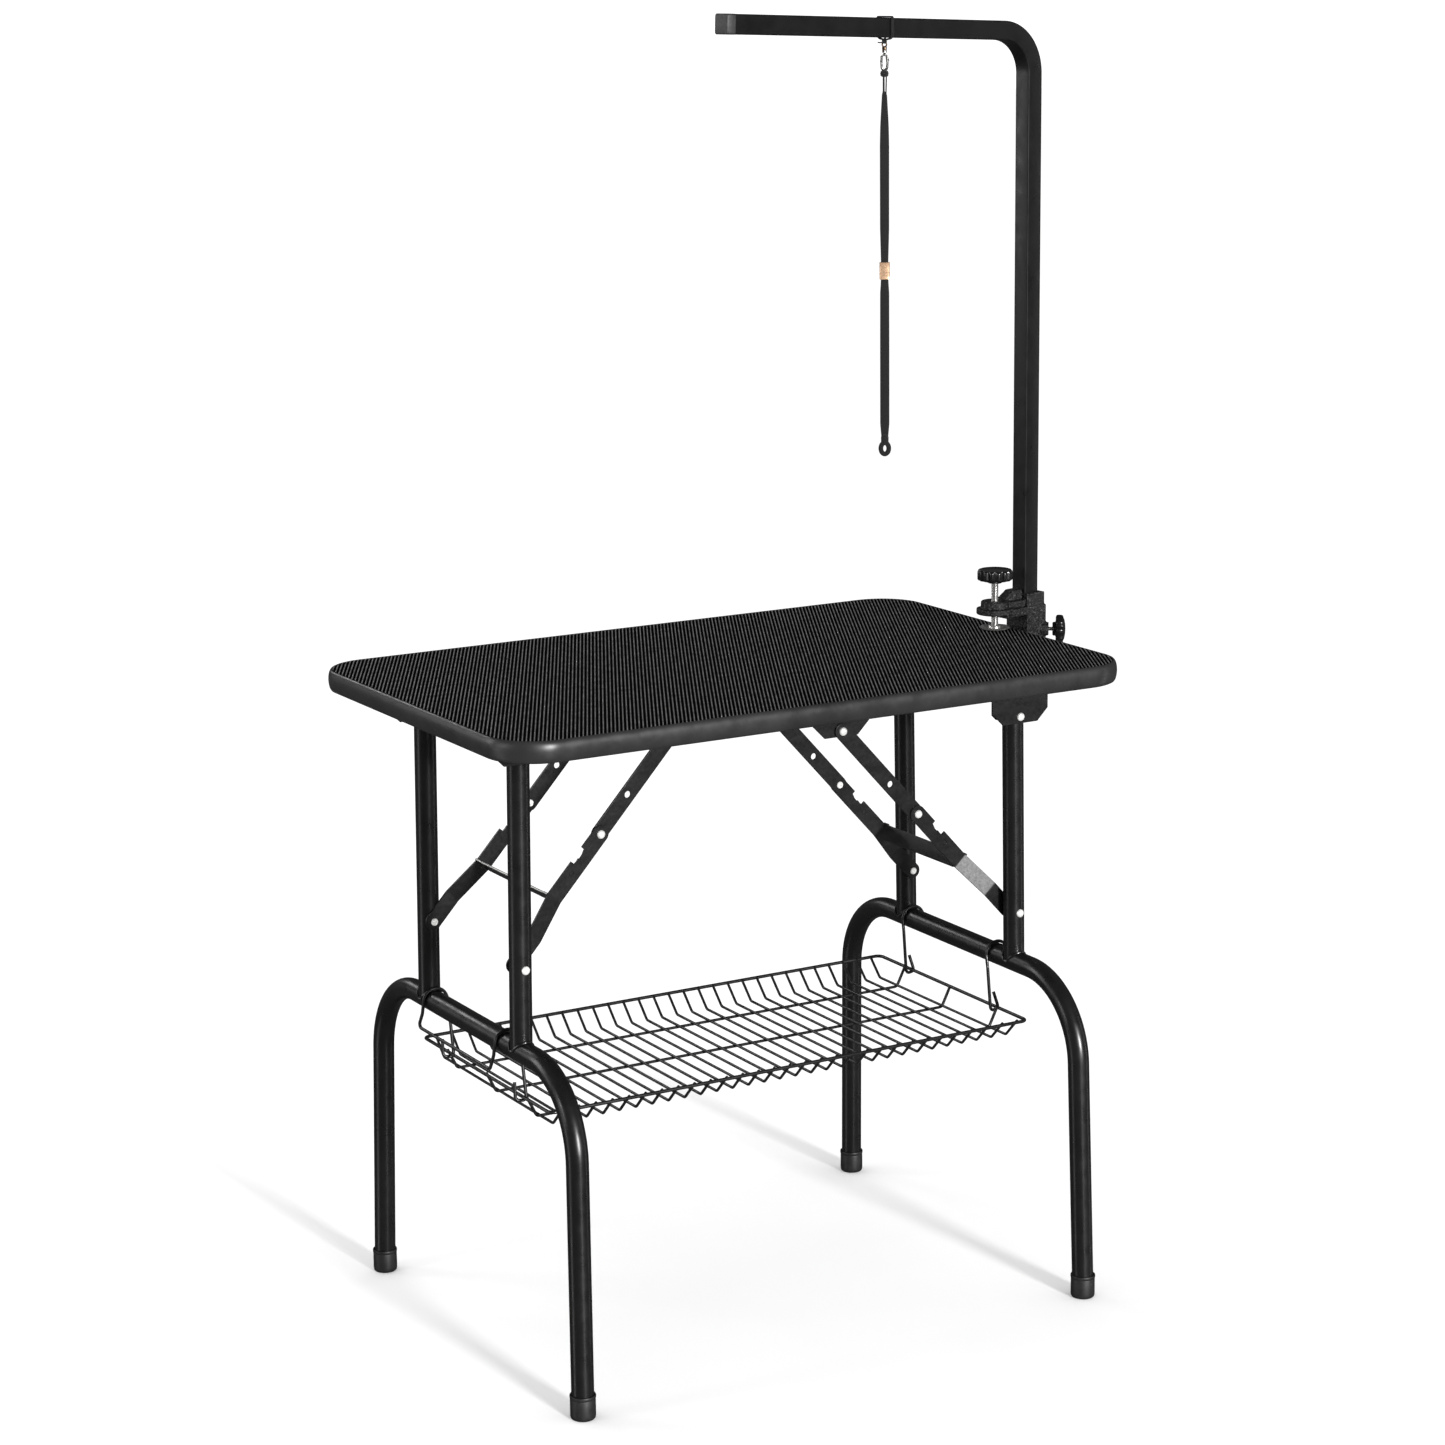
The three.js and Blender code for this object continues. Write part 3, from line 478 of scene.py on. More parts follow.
def rounded_rectangle(length, width, radius, steps):
    """The outline of a rounded rectangle about the origin."""
    points = []
    for corner, (sign_x, sign_y) in enumerate([(1, 1), (-1, 1), (-1, -1), (1, -1)]):
        for step in range(steps + 1):
            angle = (corner + step / steps) * pi / 2
            x = sign_x * (length / 2 - radius) + radius * cos(angle)
            points.append((x, sign_y * (width / 2 - radius) + radius * sin(angle)))
    return points


def rounded(corners, radius, steps=8, closed=False):
    """A path through corners, each turned on an arc of that radius or as much of it as fits."""
    corners = [Vector(c) for c in corners]
    count = len(corners)
    path = [] if closed else [corners[0]]
    for i in range(0 if closed else 1, count if closed else count - 1):
        corner = corners[i]
        back = corners[i - 1] - corner
        ahead = corners[(i + 1) % count] - corner
        half = back.angle(ahead) / 2
        fitted = min(radius, 0.49 * min(back.length, ahead.length) * tan(half))
        back.normalize()
        ahead.normalize()
        centre = corner + (back + ahead).normalized() * fitted / sin(half)
        start = corner + back * fitted / tan(half) - centre
        end = corner + ahead * fitted / tan(half) - centre
        swing = start.rotation_difference(end)
        for step in range(steps + 1):
            path.append(centre + Quaternion(swing.axis, swing.angle * step / steps) @ start)
    return path if closed else path + [corners[-1]]


def skinned(rings, closed=False, capped=True):
    """A skin over rings of points, each ring with as many; closed runs it on from the last to the first."""
    sides = len(rings[0])
    points = [point for ring in rings for point in ring]
    faces = []
    for i in range(len(rings) if closed else len(rings) - 1):
        low, high = i * sides, (i + 1) % len(rings) * sides
        for k in range(sides):
            after = (k + 1) % sides
            faces.append([low + k, low + after, high + after, high + k])
    if capped and not closed:
        last = len(points) - sides
        faces += [list(range(sides)), [last + k for k in range(sides)]]
    return points, faces


def tube(path, section, side=(0, 0, 1), closed=False, bore=None):
    """A section swept along a path. Its first number runs along side, as it is carried down the path."""
    path = [Vector(p) for p in path]
    count = len(path)
    side = Vector(side)
    stations = []
    for i, point in enumerate(path):
        steps = []
        if i or closed:
            steps.append((point - path[i - 1]).normalized())
        if i < count - 1 or closed:
            steps.append((path[(i + 1) % count] - point).normalized())
        along = sum(steps, Vector()).normalized()
        side = (side - along * side.dot(along)).normalized()
        stations.append((point, side, along.cross(side)))

    def rings(outline):
        return [[point + s * a + u * b for a, b in outline] for point, s, u in stations]

    if bore:
        return skinned(rings(section) + rings(bore)[::-1], closed=True)
    return skinned(rings(section), closed)


def lathe(profile, sides=40, lobes=0, sharpness=1.0):
    """A profile of (radius, height) turned about Z; a third number is how deep flutes cut into that row."""
    points, faces, rows = [], [], []
    for radius, height, *flute in profile:
        if radius < 1e-6:
            rows.append([len(points)])
            points.append(Vector((0, 0, height)))
            continue
        rows.append(list(range(len(points), len(points) + sides)))
        for k in range(sides):
            angle = 2 * pi * k / sides
            cut = flute[0] * (0.5 - 0.5 * cos(lobes * angle)) ** sharpness if flute else 0
            points.append(polar(radius - cut, angle, height))
    for low, high in zip(rows, rows[1:]):
        for k in range(sides):
            quad = [
                low[k % len(low)], low[(k + 1) % len(low)], high[(k + 1) % len(high)],
                high[k % len(high)],
            ]
            faces.append(list(dict.fromkeys(quad)))
    return points, [face for face in faces if len(face) > 2]


def thread(radius, depth, pitch, low, high, sides=24, steps=8):
    """A screw's outside along Z, with its thread fading out at both ends."""
    rows = round((high - low) / pitch * steps)
    rings = []
    for row in range(rows + 1):
        z = low + (high - low) * row / rows
        fade = min(1, (z - low) / pitch, (high - z) / pitch)
        rings.append([])
        for k in range(sides):
            angle = 2 * pi * k / sides
            crest = 0.5 + 0.5 * cos(2 * pi * (z / pitch - k / sides))
            rings[-1].append(polar(radius - depth * (1 - crest) * fade, angle, z))
    points, faces = skinned(rings, capped=False)
    for start, z in ((0, low), (rows * sides, high)):
        points.append(Vector((0, 0, z)))
        faces += [[start + k, start + (k + 1) % sides, len(points) - 1] for k in range(sides)]
    return points, faces


def plate(outline, low, high, axis="Y"):
    """An outline extruded along an axis; along Y it is drawn in X and Z, along X in Y and Z."""
    place = {
        "X": lambda a, b, t: Vector((t, a, b)),
        "Y": lambda a, b, t: Vector((a, t, b)),
        "Z": lambda a, b, t: Vector((a, b, t)),
    }[axis]
    return skinned([[place(a, b, t) for a, b in outline] for t in (low, high)])


def sheet(line, thickness, edges):
    """Sheet metal along a flat line; edges(point, skin) gives both edge points of a skin at that point."""
    rings = []
    for i, point in enumerate(line):
        along = (line[min(i + 1, len(line) - 1)] - line[max(i - 1, 0)]).normalized()
        out = Vector((-along.y, along.x)) * thickness / 2
        low, high = edges(point, point + out)
        other_low, other_high = edges(point, point - out)
        rings.append([low, high, other_high, other_low])
    return skinned(rings)


def folded_sheet(line, half_width):
    """A bracket folded along X: a line of (y, z), as wide at each point as half_width says."""

    def edges(point, skin):
        reach = half_width(point)
        return [Vector((x, skin.x, skin.y)) for x in (-reach, reach)]

    return sheet(line, SHEET, edges)


# Pieces ----


def solid_mesh(name, shapes, place):
    """One mesh from closed shapes, in the row's frame, with its normals facing outwards."""
    points, faces = merged(shapes)
    whole = TABLE @ place
    mesh = bpy.data.meshes.new(name)
    mesh.from_pydata([whole @ Vector(p) for p in points], [], faces)
    work = bmesh.new()
    work.from_mesh(mesh)
    bmesh.ops.remove_doubles(work, verts=work.verts, dist=2e-6)
    bmesh.ops.recalc_face_normals(work, faces=work.faces)
    work.to_mesh(mesh)
    work.free()
    return mesh


def piece(name, shapes, place, finish, nodes=(), like=None, sharp=32):
    """One named piece from closed shapes, carried by the body of the node it stands for or is like."""
    mesh = solid_mesh(name, shapes, place)
    mesh.shade_smooth()
    mesh.set_sharp_from_angle(angle=radians(sharp))
    obj = linked(name, mesh)
    mesh.materials.append(FINISHES[finish])
    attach(obj, frame["nodes"][nodes[0] if nodes else like]["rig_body"])
    if nodes:
        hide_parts(*nodes)
    return obj


def soften(obj, width, segments=2, angle=40):
    """Rounds the edges of a piece that are sharper than an angle."""
    bevel = obj.modifiers.new("Bevel", "BEVEL")
    bevel.width = width * METRE
    bevel.segments = segments
    bevel.limit_method = "ANGLE"
    bevel.angle_limit = radians(angle)
    bevel.harden_normals = True
    return obj


def apply_modifiers(obj):
    graph = bpy.context.evaluated_depsgraph_get()
    mesh = bpy.data.meshes.new_from_object(obj.evaluated_get(graph), depsgraph=graph)
    obj.modifiers.clear()
    obj.data = mesh


def carve(obj, cutters, place):
    """Cuts closed shapes out of a piece."""
    tool = linked("cutter", solid_mesh("cutter", cutters, place))
    modifier = obj.modifiers.new("Cut", "BOOLEAN")
    modifier.operation = "DIFFERENCE"
    modifier.solver = "EXACT"
    modifier.object = tool
    apply_modifiers(obj)
    bpy.data.objects.remove(tool)


def rod(start, end, radius, sides=24):
    start, end = Vector(start), Vector(end)
    side = (0, 0, 1) if abs((end - start).normalized().z) < 0.9 else (1, 0, 0)
    return tube([start, end], circle(radius, sides), side)


def box(low, high):
    (x0, y0, z0), (x1, y1, z1) = low, high
    return plate([(x0, y0), (x1, y0), (x1, y1), (x0, y1)], z0, z1, "Z")


# Noose: the strap is the one free cord, so it comes first ----


def between(table, x):
    """The value at x on a table of (x, value) pairs."""
    for (x0, v0), (x1, v1) in zip(table, table[1:]):
        if x <= x1:
            return v0 + (v1 - v0) * max(0, x - x0) / (x1 - x0)
    return table[-1][1]


def ribbon_section(half, thick):
    """A flat woven band with rolled edges."""
    outline = []
    for a, b in circle(1, 24):
        outline.append((copysign(abs(a) ** 0.45, a) * half, copysign(abs(b) ** 0.7, b) * thick))
    return outline


def ribbon(shift, thick, start, end, narrower=0.0):
    """One layer of the strap, from start to end along it, as (shape, centre points)."""
    stations = round((end - start) / 4.5)
    rings, centres = [], []
    for i in range(stations + 1):
        down = start + (end - start) * i / stations
        sway = 0.4 * sin(down / 61) * min(1, down / 80)
        twist = radians(4) * sin(down / 90 + 0.4)
        neck = -0.9 if down < 16 else 0
        centre = Vector((neck + shift * min(1, max(0, down - 16) / 60), sway, STRAP_TOP - down))
        centres.append(centre)
        half = between(STRAP_HALF_WIDTHS, down) - narrower
        rings.append([])
        for a, b in ribbon_section(half, thick):
            across = a * cos(twist) - b * sin(twist)
            through = a * sin(twist) + b * cos(twist)
            rings[-1].append(centre + Vector((across, through, 0)))
    return skinned(rings), centres


def ring(radius, across, steps):
    """Points round a circle in the X-Z plane, stretched across X."""
    angles = [2 * pi * k / steps for k in range(steps)]
    return [(radius * across * cos(a), 0, radius * sin(a)) for a in angles]


def strap_loop():
    """The loop at the foot of the strap, and the collar that holds its ends."""
    section = [(1.8 * a, 2.9 * b) for a, b in circle(1, 14)]
    loop = tube(ring(LOOP_RADIUS, 0.7, 36), section, (0, 1, 0), closed=True)
    collar = lathe([(0, -3), (3.6, -2.8), (4.4, -1), (4.5, 5), (4, 8), (2.8, 9.2), (0, 9.4)], 24)
    flat = move(0, 0, LOOP_CENTRE + LOOP_RADIUS + 1) @ Matrix.Diagonal((1.0, 0.52, 1, 1))
    return [placed(loop, move(0, 0, LOOP_CENTRE)), placed(collar, flat)]


def strap_knot():
    """Three tilted turns of cord round a core, with the cord's end and the part that runs down."""
    middle = move(0, 0, KNOT_Z)
    shapes = []
    for height, tilt, reach in ((-1.6, 14, 3.5), (0.2, -20, 3.8), (1.9, 10, 3.4)):
        wrap = tube(ring(reach, 1, 20), circle(1.25, 8), (0, 1, 0), closed=True)
        shapes.append(placed(wrap, move(0, 0, KNOT_Z + height) @ turn("X", 90 + tilt)))
    shapes.append(placed(lathe([(0, -3.4), (2.8, -2.8), (3.4, 0), (2.8, 2.8), (0, 3.4)], 16), middle))
    shapes.append(rod((1.6, 0, KNOT_Z + 2), (2.6, 0, KNOT_Z + 7), 1.0, 10))
    shapes.append(rod((-0.9, 0, KNOT_Z), (-0.9, 0, STRAP_TOP - 2), 1.15, 10))
    return shapes


def snap_hook():
    """A swivel barrel, the flat snap link that the knot hangs from, and its thumb stud."""
    rows = [(0, 0.6), (2.0, 0.4), (2.4, -0.6), (2.4, -3.2), (1.5, -3.8), (1.5, -4.8), (3.2, -5.2)]
    barrel = lathe(rows + [(3.2, -6.6), (0, -7)], 24)
    link = [(-3.2, 0, -6.2), (-3.6, 0, -13), (-3.0, 0, -20.5), (0, 0, -23.5), (3.0, 0, -20.5)]
    link += [(3.4, 0, -13), (2.6, 0, -6.2)]
    hook = tube(rounded(link, 3, 6), [(1.15 * a, 1.5 * b) for a, b in circle(1, 12)], (0, 1, 0))
    stud = lathe([(0, -1.4), (1.1, -1.2), (1.4, 0), (1.1, 1.2), (0, 1.4)], 14)
    return [barrel, hook, placed(stud, move(4.4, 0, -11) @ turn("Y", 90))]


def slider_sleeve():
    """A rolled metal sleeve round the strap, its ends turned in a little."""
    low, high = SLIDER_ENDS
    outline = rounded_rectangle(11.8, 5.0, 1.6, 4)
    bore = rounded_rectangle(11.0, 3.4, 1.0, 4)
    rows = [(low, -0.25), (low + 0.7, 0), (low + 5, 0.06), (high - 5, 0.06), (high - 0.7, 0), (high, -0.25)]
    outside, inside = [], []
    for z, swell in rows:
        outside.append([(a + copysign(swell, a), b + copysign(swell, b), z) for a, b in outline])
        inside.append([(a, b, z) for a, b in bore])
    return skinned(outside + inside[::-1], closed=True)


def add_noose():
    band, centres = ribbon(0, 0.95, 0, 418)
    strap = piece("noose_strap_band", [band], NOOSE, "nylon", ["noose_strap"], sharp=70)

    # Below the slider the strap's second layer shows beside the first.
    layer, _ = ribbon(-0.5, 0.5, 232, 412, 0.5)
    layer = placed(layer, move(0, -0.7, 0))
    cord = rod((2.2, 0, STRAP_TOP + 4), (1.7, 0, STRAP_TOP - 17.5), 0.8, 10)
    layer_piece = piece(
        "noose_strap_second_layer", [layer, cord], NOOSE, "nylon", like="noose_strap", sharp=70
    )
    end = piece("noose_strap_loop", strap_loop(), NOOSE, "nylon", like="noose_strap", sharp=70)
    knot = piece("noose_strap_knot", strap_knot(), NOOSE, "nylon", like="noose_strap", sharp=70)
    piece("noose_snap_hook", snap_hook(), NOOSE, "link_steel", ["noose_hook"], sharp=50)
    sleeve = [slider_sleeve()]
    slider = piece("noose_slider_sleeve", sleeve, NOOSE, "copper_slider", ["noose_slider"], sharp=40)


def add_tie():
    """The cord looped over the arm, knotted under it with one loose end, and the clip that hangs on it."""
    bar = ARM_CORNER_HEIGHT - NOOSE_X * tan(ARM_RISE)
    top = bar + POST_HALF + 1.1
    out = POST_HALF + 1.1
    apex = NOOSE_TOP + 11.5
    under = bar - POST_HALF
    strands = []
    for shift in (0, 2.2):
        half = [(shift * 0.2, 0.9, apex), (shift, out * 0.72, under - 0.9), (shift, out, under + 1.6)]
        half.append((shift, out, top))
        front = [(NOOSE_X + x, -y, z) for x, y, z in half]
        back = [(NOOSE_X + x, y, z) for x, y, z in reversed(half)]
        strands.append(tube(rounded(front + back, 1.6, 5), circle(1.0, 10), (1, 0, 0)))
    flat_ring = [(x, z, y) for x, y, z in ring(2.2, 1, 18)]
    for tilt, rise in ((25, -0.4), (-30, -1.6), (70, -1)):
        wrap = tube(flat_ring, circle(0.95, 8), closed=True)
        tilted = turn("X", 90 + tilt) @ turn("Y", tilt / 2)
        strands.append(placed(wrap, move(NOOSE_X, 0, apex + rise) @ tilted))
    tail = [(-1, -1, 0), (-5, -2.5, -1.6), (-10, -4, -1.9), (-15, -6, -1.4)]
    tail = [(NOOSE_X + x, y, apex - 1 + z) for x, y, z in tail]
    strands.append(tube(rounded(tail, 6, 4), circle(0.75, 8)))
    piece("noose_tie_cord", strands, CLAMP, "nylon", ["noose_tie"], sharp=70)

    eye = tube(ring(2.6, 0.95, 24), circle(0.95, 10), (0, 1, 0), closed=True)
    body = lathe([(0, 2.6), (2.4, 2.4), (2.9, 1.4), (2.6, -1.6), (2.7, -3.2), (2.3, -3.6), (0, -3.6)], 24)
    shapes = [
        placed(eye, NOOSE_PLACE @ move(0, 0, 6.2)),
        placed(body, NOOSE_PLACE @ move(0, 0, 1.4) @ Matrix.Diagonal((1, 0.8, 1, 1))),
    ]
    piece("noose_tie_clip", shapes, CLAMP, "clip_bronze", like="noose_tie", sharp=50)


add_noose()
add_tie()

# Tabletop ----


def add_top():
    profile = [
        (TRIM_LIP, 0.4), (4.2, 0), (2.8, 0.6), (1.8, 2), (1.0, 4.2), (0.4, 7.2), (0.1, 10), (0, 13),
        (0.15, 16), (0.6, 18.8), (1.3, 21.2), (2.2, 23), (3.3, 24.3), (4.2, 24.7), (TRIM_LIP, 24.3),
        (TRIM_LIP, 12),
    ]
    rings = []
    for inset, rise in profile:
        length, width = TOP_LENGTH - 2 * inset, TOP_WIDTH - 2 * inset
        outline = rounded_rectangle(length, width, TOP_CORNER_RADIUS - inset, 24)
        rings.append([Vector((x, y, UNDERSIDE + rise)) for x, y in outline])
    trim = skinned(rings, closed=True)
    piece("edge_trim_band", [trim], IN_PLACE, "edge_trim", ["edge_trim"], sharp=60)
    board = frame["nodes"]["tabletop_board"]
    board.data.materials.clear()
    board.data.materials.append(FINISHES["plywood"])
    piece("tabletop_ribbed_mat", [ribbed_mat()], IN_PLACE, "mat_rubber", ["tabletop_mat"], sharp=50)


def chord(offset, along, across, half_x, half_y, radius):
    """Where a line at an offset enters and leaves a rounded rectangle, as distances along it."""

    def outside(t):
        point = across * offset + along * t
        x, y = max(abs(point.x) - half_x + radius, 0), max(abs(point.y) - half_y + radius, 0)
        return hypot(x, y) - radius

    middle = min((t for t in range(-500, 501, 20)), key=outside)
    if outside(middle) >= 0:
        step = 10.0
        while step > 0.01:
            middle = min((middle - step, middle, middle + step), key=outside)
            step /= 2
        if outside(middle) >= 0:
            return None
    ends = []
    for sign in (-1, 1):
        near, far = middle, middle + sign * 1000
        for _ in range(40):
            half = (near + far) / 2
            near, far = (half, far) if outside(half) < 0 else (near, half)
        ends.append(near)
    return ends


def ribbed_mat():
    """The mat as one solid: ribs that run slantwise across it, cut off at its rounded outline."""
    angle = radians(RIB_TURN)
    along = Vector((sin(angle), cos(angle)))
    across = Vector((cos(angle), -sin(angle)))
    half_x, half_y = TOP_LENGTH / 2 - MAT_INSET, TOP_WIDTH / 2 - MAT_INSET
    wave = [(0.0, 0.0), (0.06, 0.72), (0.13, 0.96), (0.24, 1.0), (0.35, 0.96), (0.42, 0.72), (0.48, 0.0)]
    rings = []
    reach = int(500 / RIB_PITCH)
    for rib in range(-reach, reach):
        for share, height in wave:
            offset = (rib + share) * RIB_PITCH
            ends = chord(offset, along, across, half_x, half_y, TOP_CORNER_RADIUS - MAT_INSET)
            if not ends:
                continue
            top = TOP_HEIGHT - RIB_HEIGHT * (1 - height)
            base = TOP_HEIGHT - MAT_THICKNESS
            near, far = (across * offset + along * t for t in ends)
            rings.append([(*near, top), (*far, top), (*far, base), (*near, base)])
    return skinned(rings)


add_top()

# Rivets and screws ----


def rivet(head_y, tail_y, sign):
    """A rivet along Y with a domed head outside and a rolled tail inside."""
    tail = -abs(head_y - tail_y)
    rows = [(0, tail - 1.2), (1.7, tail - 1.0), (2.2, tail - 1.6), (3.6, tail - 1.7), (4.3, tail - 0.9)]
    rows += [(4.2, tail), (3, tail + 0.1), (3, -0.1), (4.5, 0), (4.95, 0.5), (4.7, 1.4), (4.0, 2.3)]
    shape = lathe(rows + [(2.8, 2.95), (1.4, 3.2), (0, 3.25)], 28)
    return placed(shape, move(0, head_y, 0) @ turn("X", -90 * sign))


def add_rivet(label, name, head_y, tail_y, sign, place):
    head = [rivet(sign * head_y, sign * tail_y, sign)]
    piece(f"{label}_{name}_rivet_head", head, place, "zinc_rivet", [f"{label}_{name}_rivet"])


def wood_screw(x, y, z):
    """A pan head, facing down under the top."""
    head = lathe([(0, -2.2), (1.6, -2.2), (3.2, -1.7), (4.2, -0.6), (4.3, 0), (0, 0.4)], 24)
    return placed(head, move(x, y, z))


# Ends: legs, braces and their brackets ----


def leg_bracket(drop, sign):
    """A folded channel: a wide outer cheek with its corners cut off, and a narrow one behind the tube."""
    top = drop - SHEET_GAP - SHEET / 2
    reach = sign * (TUBE_RADIUS + 0.8 + SHEET / 2)
    bottom, chamfer, half = -8, 15, 39.5
    inner_chamfer, inner_half = 6, 20
    outer, inner = sign * UPRIGHT_Y + reach, sign * UPRIGHT_Y - reach
    corners = [(outer, bottom, 0), (outer, top, 0), (inner, top, 0), (inner, bottom, 0)]
    line = [p.to_2d() for p in rounded(corners, SHEET_BEND, 5)]
    line.insert(1, Vector((outer, bottom + chamfer)))
    line.insert(-1, Vector((inner, bottom + inner_chamfer)))

    def width(point):
        if abs(point.x - inner) < 0.1 and point.y < top - 3:
            return inner_half - max(0, bottom + inner_chamfer - point.y)
        return half - max(0, bottom + chamfer - point.y)

    return folded_sheet(line, width)


def brace_bracket(drop, sign):
    """A folded angle whose hanging cheek narrows towards the brace's pivot."""
    top = drop - SHEET_GAP - SHEET / 2
    outer = sign * (UPPER_LINK_Y - 1.8)
    half, slope, bottom, shoulder = 38.5, 16, -7, 9
    corners = [(outer, bottom, 0), (outer, top, 0), (outer - sign * 20.8, top, 0)]
    line = [p.to_2d() for p in rounded(corners, SHEET_BEND, 5)]
    line.insert(1, Vector((outer, shoulder)))
    return folded_sheet(line, lambda p: half - slope * max(0, shoulder - p.y) / (shoulder - bottom))


def link_outline(length):
    half = LINK_WIDTH / 2
    outline = []
    for centre, first in ((0, 90), (length, -90)):
        for step in range(17):
            angle = radians(first + 180 * step / 16)
            outline.append((centre + half * cos(angle), half * sin(angle)))
    return outline


def lower_arm(length, sign):
    """A lower link: flat strip, bent outwards towards the leg, with a notch in its upper edge."""
    half = LINK_WIDTH / 2
    centre = LOWER_LINK_Y + LINK_THICKNESS / 2
    end = LOWER_LINK_END_Y + LINK_THICKNESS / 2
    corners = [
        (-half, end, 0), (LOWER_BEND_END, end, 0), (LOWER_BEND, centre, 0), (length + half, centre, 0)
    ]
    path = [p.to_2d() for p in rounded(corners, 9, 6)]
    notch = [(-45.01, 0), (-45, 5.2), (-41, 5.6), (-37, 5.2), (-36.99, 6.6), (-31, 6.4), (-27, 5.0)]
    notch = [(length + x, depth) for x, depth in notch + [(-25, 4.6), (-24.99, 0)]]
    for k in range(1, 12):
        rounding = half * (1 - cos(pi * k / 24))
        path.append(Vector((-half + rounding, end)))
        path.append(Vector((length + half - rounding, centre)))
    path += [Vector((x, centre)) for x, _ in notch]
    path.sort(key=lambda p: p.x)
    depths = [(-1e3, 0), *notch, (1e4, 0)]

    def edges(point, skin):
        past = max(-point.x, point.x - length, 0)
        reach = sqrt(max(half**2 - past**2, 0.01))
        return [Vector((skin.x, sign * skin.y, z)) for z in (-reach + between(depths, point.x), reach)]

    return sheet(path, LINK_THICKNESS, edges)


def crossbar():
    half = LINK_WIDTH / 2
    inner, outer = UPPER_LINK_Y - 0.5, LOWER_LINK_Y + LINK_THICKNESS
    one = [
        (inner - 6, -half), (inner - 4, -half - EAR), (outer, -half - EAR), (outer, 1 - half),
        (LOWER_LINK_Y, 1 - half), (LOWER_LINK_Y, -half - 0.35), (inner, -half - 0.35), (inner, half),
    ]
    other = [(-y, z) for y, z in reversed(one)]
    return plate(one + other, LOWER_BEND - LINK_THICKNESS, LOWER_BEND, "X")


def crossbar_edge():
    """A bright rod along the top of the crossbar, from ear to ear: a painted highlight on its edge."""
    middle = LOWER_BEND - LINK_THICKNESS / 2
    top, inner = -LINK_WIDTH / 2 + 0.4, UPPER_LINK_Y - 6
    one = [
        (middle, LOWER_LINK_Y + LINK_THICKNESS - 0.5, top - EAR), (middle, inner + 1.6, top - EAR),
        (middle, inner, top),
    ]
    return tube(one + mirrored(one), circle(0.8, 8), (1, 0, 0))


def upright(low, high):
    """A straight tube whose foot is cut to sit on the bow below it."""
    inside = TUBE_RADIUS - TUBE_WALL
    rows = [(TUBE_RADIUS, z) for z in (low, low + 16, high - 2.5, high - 1)]
    rows += [(TUBE_RADIUS - 0.5, high), (inside, high - 0.3), (inside, low), (TUBE_RADIUS, low)]
    points, faces = lathe(rows, 40)
    for p in points:
        if abs(p.z - low) < 1e-6:
            p.z = low + sqrt(max(TUBE_RADIUS**2 - p.x**2, 0))
    return points, faces


def weld(seed):
    """The bead where an upright meets the bow: a lumpy ring that rides over the tube."""
    draw = random.Random(seed)
    path = []
    for k in range(64):
        angle = 2 * pi * k / 64
        reach = TUBE_RADIUS + 0.7 + draw.uniform(-0.15, 0.2)
        x, y = polar(reach, angle).to_2d()
        height = sqrt(max(TUBE_RADIUS**2 - (0.985 * x) ** 2, 1.5))
        path.append((x * 0.985, y, height + 0.5 + draw.uniform(-0.2, 0.25)))
    return tube(path, circle(1.5, 8), (0, 0, 1), closed=True)


def foot():
    """A rubber cap: rounded sole, slightly tapered wall and a rolled lip."""
    r = FOOT_RADIUS
    rows = [(0, 0.6), (r - 6.5, 0.5), (r - 5.6, 0), (r - 3, 0), (r - 1.4, 0.5), (r - 0.5, 1.6)]
    rows += [(r - 0.1, 3.4), (r, 6), (r - 0.1, 22.8), (r - 0.35, 23.6), (r + 0.3, 24.6), (r + 0.4, 26.8)]
    rows += [(r + 0.1, 27.8), (r - 0.8, FOOT_HEIGHT), (TUBE_RADIUS + 0.5, FOOT_HEIGHT - 0.2)]
    bore = TUBE_RADIUS + 0.2
    return lathe(rows + [(bore, FOOT_HEIGHT - 1.5), (bore, 3.4), (0, 3.4)], 48)


def hanger(side):
    """One wire with two hooks: over the bow, down inside it, under the basket's rim and up in a tip."""
    lean = tan(radians(LEG_LEAN))
    tube_x = PIVOT_X + lean * (PIVOT_HEIGHT["right"] - BOW_HEIGHT)
    bend = TUBE_RADIUS + HANGER_WIRE + 0.6
    foot_z = RIM_Z - RIM_WIRE - HANGER_WIRE - 1.2
    drop = SPREADER_DROP[side]
    hooks = []
    for tube_y, rim_y, spread in ((103.5, 93, 13.5), (-82, -94, 12)):
        tube_y, rim_y, spread = side * tube_y, side * rim_y, side * spread * drop / 32
        arc = []
        for step in range(15):
            angle = pi * (1 - step / 14)
            arc.append((tube_x + bend * cos(angle), tube_y, BOW_HEIGHT + bend * sin(angle)))
        hooks.append(
            [
                (RIM_X + 4.6, rim_y + side * 9, RIM_Z + 15),
                (RIM_X + 7.5, rim_y + side * 2, foot_z + 1),
                (tube_x - bend - 1.5, rim_y, foot_z),
                (tube_x - bend - 0.5, rim_y + (tube_y - rim_y) * 0.7, BOW_HEIGHT - 14),
                *arc,
                (tube_x + bend, tube_y + spread * 0.3, BOW_HEIGHT - 0.44 * drop),
                (tube_x + bend + 1, tube_y + spread, BOW_HEIGHT - drop),
            ]
        )
    return tube(rounded(hooks[0] + hooks[1][::-1], 4.5, 5), circle(HANGER_WIRE, 12), (0, 1, 0))


